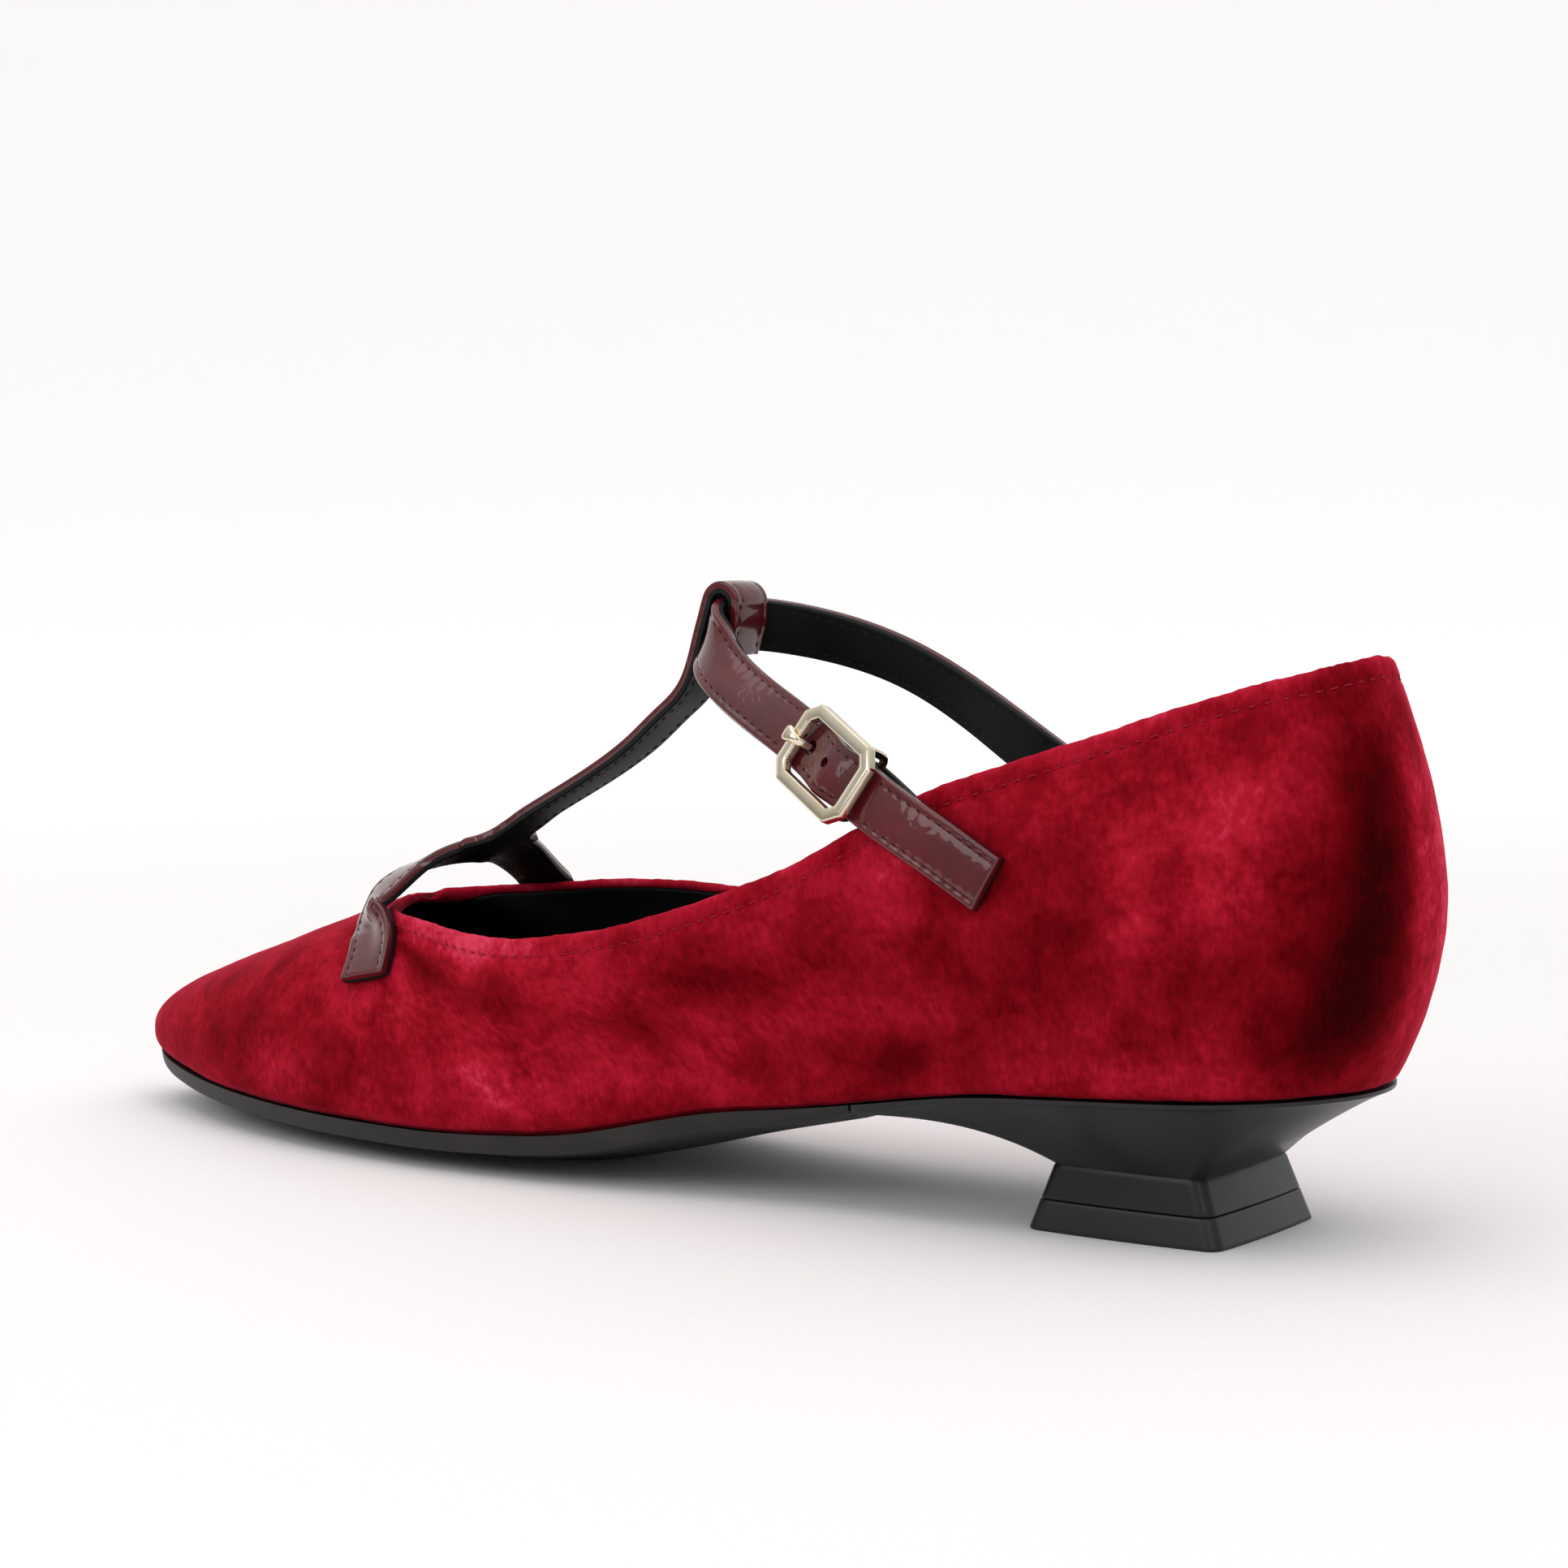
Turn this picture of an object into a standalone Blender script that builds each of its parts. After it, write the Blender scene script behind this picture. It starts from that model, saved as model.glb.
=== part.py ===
"""T-bar mary jane pump with a kitten heel, left shoe, standing empty on its sole.

Units are metres. The toe points to -X, the outer (lateral) side to -Y and up is +Z.
The shoe is worked out in its own last frame: "along" runs forward from the back of
the heel, "across" runs to the outer side and "up" is the height over the floor.
"""
import math

import bmesh
import bpy
import numpy as np

for old in list(bpy.data.objects):
    bpy.data.objects.remove(old, do_unlink=True)

# Overall sizes of the last
SHOE_LENGTH = 0.266
BALL_WIDTH = 0.0682
SEAT_WIDTH = 0.0545
SEAT_HEIGHT = 0.0245
EDGE_LIFT = 0.0043
TOE_SPRING = 0.0078
BACK_HEIGHT = 0.0899
VAMP_HEIGHT = 0.0428
FEATHER_RADIUS = 0.0026
LASTING_MARGIN = 0.0055

# Thicknesses and clearances
UPPER_WALL = 0.0018
SOLE_THICKNESS = 0.0031
SHANK_THICKNESS = 0.0024
SOLE_INSET = 0.0012
INSOLE_THICKNESS = 0.0016
FIT_GAP = 0.0003

# Kitten heel
TOP_LIFT_LENGTH = 0.0338
TOP_LIFT_WIDTH = 0.0344
TOP_LIFT_SETBACK = 0.0256
HEEL_WAIST_LENGTH = 0.0263
HEEL_WAIST_WIDTH = 0.0311
HEEL_WAIST_SETBACK = 0.0039
HEEL_WAIST_HEIGHT = 0.0104
TOP_LIFT_HEIGHT = 0.0050
HEEL_CORNER_RADIUS = 0.0026
HEEL_SIDE_BOW = 0.0005
HEEL_LIP_REACH = 0.0860
HEEL_LIP_THICKNESS = 0.0014
HEEL_RIM_THICKNESS = 0.0006
HEEL_SPREAD = 1.12
HEEL_SPREAD_AHEAD = 1.5

# Places along the shoe, as shares of SHOE_LENGTH
SHANK_START = 0.52
LIP_START = 0.25
LIP_RUN = 0.07
SEAT_CORNER = 0.066
SPINE_START = 0.10
SPINE_END = 0.02

# How finely the surfaces are cut
RIBS_PER_ROW = 2
WALL_STEPS = 8
ARC_STEPS = 3
MARGIN_ROWS = 2
CORNER_POINTS = 4
SIDE_SPANS = 8

# Straps
STRAP_WIDTH = 0.0092
STRAP_THICKNESS = 0.0021
BUCKLE_STRAP_WIDTH = 0.0084
BUCKLE_STRAP_THICKNESS = 0.0014
INSTEP_ALONG = 0.1274
INSTEP_HEIGHT = 0.0929
LOOP_TILT = math.radians(18.0)
STRAP_EDGE_ROUND = 0.0004
BEND_DENSITY = 0.009
STRAP_RINGS = 46
ARM_RINGS = 18
PRONG_RINGS = 27
CHAPE_RINGS = 24

# Buckle
BUCKLE_LENGTH = 0.0196
BUCKLE_WIDTH = 0.0142
BUCKLE_BAR = 0.0022
BUCKLE_THICKNESS = 0.0017
BUCKLE_CHAMFER = 0.0026
HINGE_BAR_DIAMETER = 0.0014
PRONG_DIAMETER = 0.0012
HOLE_DIAMETER = 0.0025
HOLE_PITCH = 0.0054
HOLE_COUNT = 3

# Feather line, the seam of upper and sole, from the toe tip to the back of the heel.
# along: share of SHOE_LENGTH. ball: share of the width that follows BALL_WIDTH, the
# rest follows SEAT_WIDTH. lateral, medial: shares of half that width. rise: height of
# the upper's underside as a share of the rise to the seat. lift, spring: shares of
# EDGE_LIFT, at the edge only, and of TOE_SPRING.
FEATHER = np.array([
    # along   ball  lateral medial  rise    lift   spring
    (1.0000, 1.00, -0.205, -0.205, 0.000, 0.000, 1.000),
    (0.9902, 1.00, -0.020, -0.384, 0.000, 0.050, 0.955),
    (0.9662, 1.00, 0.173, -0.545, 0.000, 0.165, 0.805),
    (0.9267, 1.00, 0.372, -0.710, 0.000, 0.395, 0.565),
    (0.8703, 1.00, 0.587, -0.865, 0.000, 0.675, 0.300),
    (0.8026, 1.00, 0.774, -0.980, 0.000, 0.840, 0.130),
    (0.7331, 1.00, 0.903, -1.038, 0.000, 0.930, 0.040),
    (0.6767, 1.00, 0.965, -1.041, 0.000, 1.000, 0.000),
    (0.6259, 1.00, 0.991, -1.006, 0.000, 1.030, 0.000),
    (0.5733, 0.95, 1.000, -0.955, 0.014, 1.140, 0.000),
    (0.5207, 0.80, 0.999, -0.898, 0.121, 0.910, 0.000),
    (0.4699, 0.60, 0.984, -0.847, 0.260, 0.880, 0.000),
    (0.4211, 0.35, 0.982, -0.830, 0.409, 0.770, 0.000),
    (0.3684, 0.15, 0.976, -0.842, 0.549, 0.465, 0.000),
    (0.3120, 0.00, 0.991, -0.888, 0.698, 0.210, 0.000),
    (0.2538, 0.00, 0.998, -0.936, 0.831, 0.090, 0.000),
    (0.1992, 0.00, 1.013, -0.980, 0.901, 0.023, 0.000),
    (0.1485, 0.00, 1.006, -0.998, 0.939, 0.000, 0.000),
    (0.1015, 0.00, 0.962, -0.962, 0.967, 0.000, 0.000),
    (0.0613, 0.00, 0.774, -0.774, 0.990, 0.000, 0.000),
    (0.0338, 0.00, 0.429, -0.429, 1.000, 0.000, 0.000),
    (0.0237, 0.00, 0.000, 0.000, 1.000, 0.000, 0.000),
])
ALONG, BALL, LATERAL, MEDIAL, RISE, LIFT, SPRING = range(7)

# Ridge of the vamp, from the toe to the front of the throat. across: share of half
# BALL_WIDTH. up: share of VAMP_HEIGHT.
RIDGE = np.array([
    # along   across   up
    (0.9758, -0.205, 0.500),
    (0.9700, -0.205, 0.519),
    (0.9512, -0.202, 0.570),
    (0.9154, -0.194, 0.650),
    (0.8647, -0.173, 0.752),
    (0.8070, -0.144, 0.876),
    (0.7500, -0.117, 1.000),
])

# Topline, from the front of the throat round to the back of the collar. The heights
# follow VAMP_HEIGHT by the share vamp, and BACK_HEIGHT by the rest.
TOPLINE = np.array([
    # along   ball  lateral medial  vamp   up_lat up_med
    (0.7500, 1.00, -0.117, -0.117, 1.00, 1.000, 1.000),
    (0.7385, 1.00, 0.205, -0.399, 1.00, 0.990, 1.007),
    (0.7086, 1.00, 0.475, -0.633, 1.00, 0.979, 1.019),
    (0.6560, 1.00, 0.657, -0.757, 1.00, 0.963, 1.051),
    (0.5959, 0.95, 0.801, -0.804, 1.00, 0.942, 1.068),
    (0.5376, 0.80, 0.871, -0.825, 1.00, 0.974, 1.061),
    (0.4812, 0.60, 0.917, -0.832, 0.85, 0.896, 0.942),
    (0.4211, 0.35, 0.945, -0.852, 0.60, 0.807, 0.828),
    (0.3571, 0.15, 0.955, -0.872, 0.30, 0.747, 0.752),
    (0.2895, 0.00, 0.947, -0.895, 0.00, 0.737, 0.737),
    (0.2256, 0.00, 0.903, -0.881, 0.00, 0.809, 0.809),
    (0.1617, 0.00, 0.857, -0.851, 0.00, 0.870, 0.870),
    (0.1071, 0.00, 0.756, -0.756, 0.00, 0.925, 0.925),
    (0.0639, 0.00, 0.628, -0.628, 0.00, 0.964, 0.964),
    (0.0400, 0.00, 0.374, -0.374, 0.00, 0.986, 0.986),
    (0.0300, 0.00, 0.000, 0.000, 0.00, 1.000, 1.000),
])

# Form of the wall at each rib, in the order of FEATHER. flare: lean outwards over the
# sole, lean: lean inwards at the top, both in degrees. low, high: pulls of the curve.
# fan: how far the top end points at the ridge and not square to the topline.
RIB_FORM = np.array([
    # flare lean  low   high  fan
    (10.0, 62.0, 0.36, 0.40, 1.00),
    (10.0, 66.0, 0.36, 0.40, 1.00),
    (9.0, 74.0, 0.37, 0.42, 1.00),
    (9.0, 82.0, 0.38, 0.44, 1.00),
    (8.0, 87.0, 0.39, 0.46, 1.00),
    (8.0, 89.0, 0.40, 0.46, 1.00),
    (7.0, 87.0, 0.40, 0.44, 1.00),
    (6.0, 68.0, 0.39, 0.40, 0.95),
    (5.0, 52.0, 0.37, 0.36, 0.85),
    (4.0, 38.0, 0.35, 0.34, 0.60),
    (4.0, 26.0, 0.34, 0.33, 0.30),
    (5.0, 18.0, 0.33, 0.33, 0.10),
    (6.0, 13.0, 0.33, 0.33, 0.00),
    (8.0, 10.0, 0.33, 0.33, 0.00),
    (10.0, 10.0, 0.34, 0.34, 0.00),
    (12.0, 12.0, 0.34, 0.34, 0.00),
    (14.0, 14.0, 0.35, 0.34, 0.00),
    (16.0, 16.0, 0.36, 0.35, 0.00),
    (21.0, 18.0, 0.38, 0.36, 0.00),
    (25.0, 20.0, 0.40, 0.36, 0.00),
    (27.0, 20.0, 0.41, 0.36, 0.00),
    (27.0, 20.0, 0.41, 0.36, 0.00),
])
LAST_ROW = len(FEATHER) - 1
THROAT_ROW = len(RIDGE) - 1

# Hollow of the upper's underside: flat middle as a share of the width, and its curve
FLAT_SHARE = 0.20
BOWL_POWER = 1.15

# Instep strap in the air, from the inner side over the instep to the outer side.
# along, up: offsets from the loop as shares of INSTEP_ALONG and INSTEP_HEIGHT. across:
# share of half SEAT_WIDTH. fore, out, rise: the way that the strap's face looks.
INSTEP_ROUTE = np.array([
    # along   across   up     fore   out    rise
    (-0.378, -0.735, -0.230, 0.00, -0.98, 0.20),
    (-0.280, -0.770, -0.149, 0.00, -0.94, 0.34),
    (-0.194, -0.730, -0.083, 0.10, -0.88, 0.46),
    (-0.110, -0.590, -0.036, 0.35, -0.80, 0.49),
    (-0.036, -0.330, -0.008, 0.75, -0.50, 0.43),
    (-0.001, -0.170, -0.001, 0.94, -0.12, 0.31),
    (0.000, 0.000, 0.000, 0.95, 0.00, 0.31),
    (-0.003, 0.170, -0.008, 0.93, 0.15, 0.33),
    (-0.018, 0.290, -0.037, 0.62, 0.55, 0.55),
    (-0.051, 0.420, -0.076, 0.25, 0.72, 0.65),
    (-0.124, 0.570, -0.130, 0.10, 0.76, 0.64),
    (-0.212, 0.717, -0.183, 0.10, 0.87, 0.46),
    (-0.294, 0.880, -0.236, 0.15, 0.93, 0.30),
    (-0.376, 1.005, -0.295, 0.06, 0.97, 0.22),
])
BUCKLE_ROW = 12.0

# Where straps lie on the upper's wall. rib: row of the rib, share: height up the wall,
# clear: space under the strap beyond the fit gap, as a share of STRAP_THICKNESS.
TAIL_ON_WALL = np.array([(15.35, 0.82, 0.24), (15.65, 0.72, 0.14), (15.97, 0.625, 0.14)])
ANCHOR_IN_WALL = np.array([(15.55, 0.86, 0.10), (15.85, 0.74, 0.10), (16.05, 0.64, 0.10)])
OUTER_ARM_ON_WALL = np.array([(7.50, 0.90, 1.43), (7.30, 0.79, 1.65), (7.08, 0.65, 1.43), (6.92, 0.50, 0.76)])
INNER_ARM_ON_WALL = np.array([(8.10, 0.93, 0.62), (7.90, 0.82, 0.36), (7.60, 0.69, 0.24), (7.25, 0.54, 0.19)])
CHAPE_IN_WALL = np.array([(15.10, 0.88, 0.10), (15.30, 0.76, 0.10), (15.45, 0.66, 0.10)])

# T-bar in the air, down the middle of the foot from the loop to the fork.
# along, up: shares of the way from the loop's foot to the fork. across: share of half
# BALL_WIDTH.
STEM_ROUTE = np.array([
    # along   across   up
    (0.060, 0.000, 0.210),
    (0.170, -0.005, 0.345),
    (0.300, -0.012, 0.480),
    (0.500, -0.024, 0.640),
    (0.730, -0.040, 0.795),
    (0.900, -0.056, 0.915),
])
FORK_ALONG = 0.1815
FORK_ACROSS = -0.0025
FORK_HEIGHT = 0.0520


def spline_open(rows, at, gaps=None):
    """Natural cubic curve through the rows, read at fractional row numbers.

    The gaps between the rows' knots are all one, unless they are given.
    """
    rows = np.asarray(rows, float)
    count = len(rows)
    gaps = np.ones(count - 1) if gaps is None else gaps
    system = np.zeros((count, count))
    right = np.zeros_like(rows)
    system[0, 0] = 1.0
    system[-1, -1] = 1.0
    slopes = np.diff(rows, axis=0) / gaps[:, None]
    for k in range(1, count - 1):
        system[k, k - 1:k + 2] = (gaps[k - 1], 2.0 * (gaps[k - 1] + gaps[k]), gaps[k])
        right[k] = 6.0 * (slopes[k] - slopes[k - 1])
    bends = np.linalg.solve(system, right)
    return read_cubic(rows, bends, at, gaps)


def spline_closed(rows, at):
    """Cubic curve through a closed loop of rows, read at fractional row numbers."""
    rows = np.asarray(rows, float)
    count = len(rows)
    system = 4.0 * np.eye(count) + np.roll(np.eye(count), 1, 0) + np.roll(np.eye(count), -1, 0)
    right = 6.0 * (np.roll(rows, 1, 0) - 2.0 * rows + np.roll(rows, -1, 0))
    bends = np.linalg.solve(system, right)
    wrapped = np.vstack([rows, rows[:1]])
    return read_cubic(wrapped, np.vstack([bends, bends[:1]]), np.mod(at, count), np.ones(count))


def read_cubic(rows, bends, at, gaps):
    """Read the pieces of a cubic curve whose second derivatives are known."""
    at = np.atleast_1d(np.asarray(at, float))
    low = np.clip(np.floor(at).astype(int), 0, len(gaps) - 1)
    t = (at - low)[:, None]
    u = 1.0 - t
    line = u * rows[low] + t * rows[low + 1]
    arch = (u ** 3 - u) * bends[low] + (t ** 3 - t) * bends[low + 1]
    return line + arch * gaps[low][:, None] ** 2 / 6.0


def knot_gaps(points):
    """Gaps between a path's knots, which grow with the square root of its steps."""
    return np.sqrt(np.linalg.norm(np.diff(points[:, :3], axis=0), axis=1))


def unit(vectors):
    """Scale vectors to length one."""
    return vectors / np.maximum(np.linalg.norm(vectors, axis=-1, keepdims=True), 1e-12)


def last_rows():
    """Feather rows in metres: along, lateral, medial, height at the edge and at the middle."""
    half = 0.5 * (FEATHER[:, BALL] * BALL_WIDTH + (1.0 - FEATHER[:, BALL]) * SEAT_WIDTH)
    base = SOLE_THICKNESS - 0.3 * FIT_GAP
    middle = base + FEATHER[:, RISE] * (SEAT_HEIGHT - base) + FEATHER[:, SPRING] * TOE_SPRING
    edge = middle + FEATHER[:, LIFT] * EDGE_LIFT
    return np.column_stack([FEATHER[:, ALONG] * SHOE_LENGTH, half * FEATHER[:, LATERAL],
                            half * FEATHER[:, MEDIAL], edge, middle])


def both_sides(table, lateral, medial):
    """Closed loop of rows: the lateral side forwards, then the medial side backwards."""
    return np.vstack([table[:, lateral], table[-2:0:-1][:, medial]])


def feather_at(rib, side):
    """Points of the feather line at fractional rib rows on one side (+1 lateral, -1 medial)."""
    rows = last_rows()
    loop = both_sides(rows, [0, 1, 3], [0, 2, 3])
    at = rib if side > 0 else 2 * LAST_ROW - rib
    return spline_closed(loop, at)


def topline_rows():
    """Topline rows in metres: along, lateral, medial, lateral height, medial height."""
    half = 0.5 * (TOPLINE[:, 1] * BALL_WIDTH + (1.0 - TOPLINE[:, 1]) * SEAT_WIDTH)
    scale = TOPLINE[:, 4] * VAMP_HEIGHT + (1.0 - TOPLINE[:, 4]) * BACK_HEIGHT
    return np.column_stack([TOPLINE[:, 0] * SHOE_LENGTH, half * TOPLINE[:, 2], half * TOPLINE[:, 3],
                            scale * TOPLINE[:, 5], scale * TOPLINE[:, 6]])


def top_at(rib, side):
    """Upper ends of the ribs: on the vamp's ridge up to the throat, then on the topline."""
    rib = np.atleast_1d(np.asarray(rib, float))
    ridge = RIDGE * np.array([SHOE_LENGTH, 0.5 * BALL_WIDTH, VAMP_HEIGHT])
    rows = topline_rows()
    loop = both_sides(rows, [0, 1, 3], [0, 2, 4])
    span = LAST_ROW - THROAT_ROW
    at = np.maximum(rib - THROAT_ROW, 0.0)
    at = at if side > 0 else 2 * span - at
    opening = spline_closed(loop, at)
    front = spline_open(ridge, np.minimum(rib, THROAT_ROW))
    return np.where(rib[:, None] <= THROAT_ROW, front, opening)


def plan_inward(curve, rib, side):
    """Unit normals in plan that point into the shoe, from small steps along a curve."""
    step = 0.02
    ahead = curve(np.minimum(rib + step, LAST_ROW), side)
    behind = curve(np.maximum(rib - step, 0.0), side)
    run = ahead - behind
    ends = (rib < step) | (rib > LAST_ROW - step)
    normal = np.column_stack([-run[:, 1], run[:, 0], np.zeros(len(run))]) * side
    centre = np.column_stack([np.where(rib < step, -1.0, 1.0), np.zeros(len(run)), np.zeros(len(run))])
    return unit(np.where(ends[:, None], centre, normal))


def under_height(along, across):
    """Height of the upper's underside: a hollow across the middle that rises to the edge."""
    rows = last_rows()
    dense = np.linspace(0.0, LAST_ROW, 12 * LAST_ROW + 1)
    table = spline_closed(both_sides(rows, [0, 1, 3], [0, 2, 3]), dense)
    other = spline_closed(both_sides(rows, [0, 1, 4], [0, 2, 4]), 2 * LAST_ROW - dense)
    order = np.argsort(table[:, 0])
    steps = table[order, 0]
    lateral = np.interp(along, steps, table[order, 1])
    medial = np.interp(along, steps, other[order, 1])
    edge = np.interp(along, steps, table[order, 2])
    middle = np.interp(along, steps, other[order, 2])
    reach = np.abs(across - 0.5 * (lateral + medial)) / np.maximum(0.5 * (lateral - medial), 1e-4)
    bowl = np.clip((reach - FLAT_SHARE) / (1.0 - FLAT_SHARE), 0.0, 1.0) ** BOWL_POWER
    return middle + (edge - middle) * bowl


def wall_grid(rib, side, shares=None):
    """Outer surface of the upper, as ribs by heights.

    A rib runs in along the lasting margin, round the feather edge on an arc, and up the
    wall on a cubic whose end directions come from RIB_FORM. With shares given, only the
    points at those heights of the wall are worked out, one for each rib.
    """
    rib = np.atleast_1d(np.asarray(rib, float))
    foot = feather_at(rib, side)
    top = top_at(rib, side)
    form = spline_open(RIB_FORM, rib)
    flare = np.radians(form[:, :1])
    lean = np.radians(form[:, 1:2])
    inward = plan_inward(feather_at, rib, side)
    chord = unit((top - foot) * np.array([1.0, 1.0, 0.0]))
    square = plan_inward(top_at, rib, side)
    square = np.where(rib[:, None] <= THROAT_ROW, chord, square)
    aim = unit(form[:, 4:5] * chord + (1.0 - form[:, 4:5]) * square)
    up = np.array([0.0, 0.0, 1.0])
    centre = foot + FEATHER_RADIUS * (inward + up)

    def on_arc(angle):
        return centre - FEATHER_RADIUS * (np.cos(angle) * inward + np.sin(angle) * up)

    start = on_arc(flare)
    reach = np.linalg.norm(top - start, axis=1, keepdims=True)
    first = start + form[:, 2:3] * reach * (np.cos(flare) * up - np.sin(flare) * inward)
    second = top - form[:, 3:4] * reach * (np.cos(lean) * up + np.sin(lean) * aim)

    def on_wall(t):
        return ((1 - t) ** 3 * start + 3 * (1 - t) ** 2 * t * first
                + 3 * (1 - t) * t ** 2 * second + t ** 3 * top)

    if shares is not None:
        return on_wall(np.asarray(shares, float)[:, None])
    columns = []
    for k in range(MARGIN_ROWS):
        inset = FEATHER_RADIUS + (LASTING_MARGIN - FEATHER_RADIUS) * (1.0 - k / MARGIN_ROWS)
        point = foot + inset * inward
        point[:, 2] = under_height(point[:, 0], point[:, 1])
        columns.append(point)
    for k in range(ARC_STEPS + 1):
        angle = math.pi / 2 + (flare - math.pi / 2) * k / ARC_STEPS
        point = on_arc(angle)
        if k == 0:
            point[:, 2] = under_height(point[:, 0], point[:, 1])
        columns.append(point)
    for k in range(1, WALL_STEPS + 1):
        columns.append(on_wall(np.full((len(rib), 1), k / WALL_STEPS)))
    return np.stack(columns, axis=1)


def wall_frame(rib, share, side):
    """Point and outward normal of the wall at ribs and heights, the normal over a strap's width."""
    rib = np.asarray(rib, float)
    share = np.asarray(share, float)
    point = wall_grid(rib, side, share)
    step = 0.01
    reach = 0.25
    along = wall_grid(rib + reach, side, share) - wall_grid(rib - reach, side, share)
    down = wall_grid(rib, side, share - step) - wall_grid(rib, side, share + step)
    return point, unit(np.cross(down, along)) * side


def to_world(points):
    """Turn last coordinates (along, across, up) into X, Y and Z."""
    return np.asarray(points, float) * np.array([-1.0, -1.0, 1.0])


def plain_material(name, colour, roughness, metallic=0.0):
    """Principled material with one colour."""
    material = bpy.data.materials.new(name)
    material.use_nodes = True
    shader = material.node_tree.nodes["Principled BSDF"]
    shader.inputs["Base Color"].default_value = (*colour, 1.0)
    shader.inputs["Roughness"].default_value = roughness
    shader.inputs["Metallic"].default_value = metallic
    material.diffuse_color = (*colour, 1.0)
    return material


def make_object(name, points, faces, material):
    """Closed object from last-frame points and faces, with doubles merged."""
    mesh = bpy.data.meshes.new(name)
    mesh.from_pydata(to_world(points).tolist(), [], [list(map(int, face)) for face in faces])
    tidy = bmesh.new()
    tidy.from_mesh(mesh)
    bmesh.ops.remove_doubles(tidy, verts=tidy.verts, dist=1e-6)
    bmesh.ops.dissolve_degenerate(tidy, edges=tidy.edges, dist=1e-6)
    bmesh.ops.triangulate(tidy, faces=tidy.faces)
    bmesh.ops.recalc_face_normals(tidy, faces=tidy.faces)
    tidy.to_mesh(mesh)
    tidy.free()
    mesh.shade_smooth()
    mesh.set_sharp_from_angle(angle=math.radians(40.0))
    mesh.materials.append(material)
    item = bpy.data.objects.new(name, mesh)
    bpy.context.collection.objects.link(item)
    return item


def grid_faces(rows, columns, start=0, wrap=False):
    """Quads of a grid of points numbered row by row, closed across if wrap is set."""
    spans = columns if wrap else columns - 1
    r, c = np.meshgrid(np.arange(rows - 1), np.arange(spans), indexing="ij")
    a = start + r * columns + c
    b = start + r * columns + (c + 1) % columns
    return np.stack([a, b, b + columns, a + columns], axis=-1).reshape(-1, 4)


def loft(rings, cap_start=True, cap_end=True):
    """Points and faces of a skin over rings of equal size, with flat ends."""
    rings = np.asarray(rings, float)
    rows, columns = rings.shape[:2]
    faces = grid_faces(rows, columns, wrap=True).tolist()
    if cap_start:
        faces.append(list(range(columns))[::-1])
    if cap_end:
        faces.append(list(range((rows - 1) * columns, rows * columns)))
    return rings.reshape(-1, 3), faces


def boolean(base, tool, operation):
    """Apply an exact Boolean of the tool to the base, and remove the tool."""
    change = base.modifiers.new("change", "BOOLEAN")
    change.object = tool
    change.operation = operation
    change.solver = "EXACT"
    bpy.context.view_layer.update()
    shape = bpy.data.meshes.new_from_object(base.evaluated_get(bpy.context.evaluated_depsgraph_get()))
    base.modifiers.clear()
    base.data = shape
    bpy.data.objects.remove(tool, do_unlink=True)


def rib_numbers():
    """Fractional rows of all ribs of one side, toe tip to heel back."""
    return np.linspace(0.0, LAST_ROW, RIBS_PER_ROW * LAST_ROW + 1)


def make_upper(material):
    """Hollow upper: an outer wall, the same wall moved in, and the rims that join them."""
    ribs = rib_numbers()
    throat = RIBS_PER_ROW * THROAT_ROW
    count = len(ribs)
    sides = [wall_grid(ribs, 1), wall_grid(ribs, -1)]
    heights = sides[0].shape[1]
    half = count * heights
    outer = np.vstack([grid.reshape(-1, 3) for grid in sides])
    skin = grid_faces(count, heights)
    skin = np.vstack([skin, skin[:, ::-1] + half])
    merged = bmesh.new()
    mesh = bpy.data.meshes.new("skin")
    mesh.from_pydata(outer.tolist(), [], skin.tolist())
    merged.from_mesh(mesh)
    bmesh.ops.remove_doubles(merged, verts=merged.verts, dist=1e-6)
    merged.verts.ensure_lookup_table()
    merged.normal_update()
    places = np.array([v.co[:] for v in merged.verts])
    normals = np.array([v.normal[:] for v in merged.verts])
    merged.free()
    bpy.data.meshes.remove(mesh)
    nearest = np.array([np.argmin(((places - point) ** 2).sum(axis=1)) for point in outer])
    normal = normals[nearest]
    out = np.where((normal * (outer - outer.mean(axis=0))).sum() > 0.0, 1.0, -1.0)
    inner = outer - UPPER_WALL * out * normal
    shift = len(outer)
    faces = [skin, skin[:, ::-1] + shift]
    for side, start in enumerate((0, half)):
        sole = start + np.arange(count) * heights
        collar = start + np.arange(throat, count) * heights + heights - 1
        for edge, turn in ((sole, 1), (collar, -1)):
            rim = np.stack([edge[:-1], edge[1:], edge[1:] + shift, edge[:-1] + shift], axis=-1)
            faces.append(rim[:, ::turn if side == 0 else -turn])
    return make_object("upper", np.vstack([outer, inner]), np.vstack(faces), material)


def plan_sections(first, last, inset, steps):
    """Sections of the bottom between two rows: along, lateral and medial, moved inwards."""
    ribs = np.linspace(first, last, steps)
    out = []
    for side in (1, -1):
        foot = feather_at(ribs, side)
        out.append(foot + inset * plan_inward(feather_at, ribs, side))
    return out


def row_of(along):
    """Fractional row of the feather line at a distance from the back of the heel."""
    dense = np.linspace(0.0, LAST_ROW, 20 * LAST_ROW + 1)
    reach = feather_at(dense, 1)[:, 0]
    return float(np.interp(-along, -reach, dense))


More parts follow.
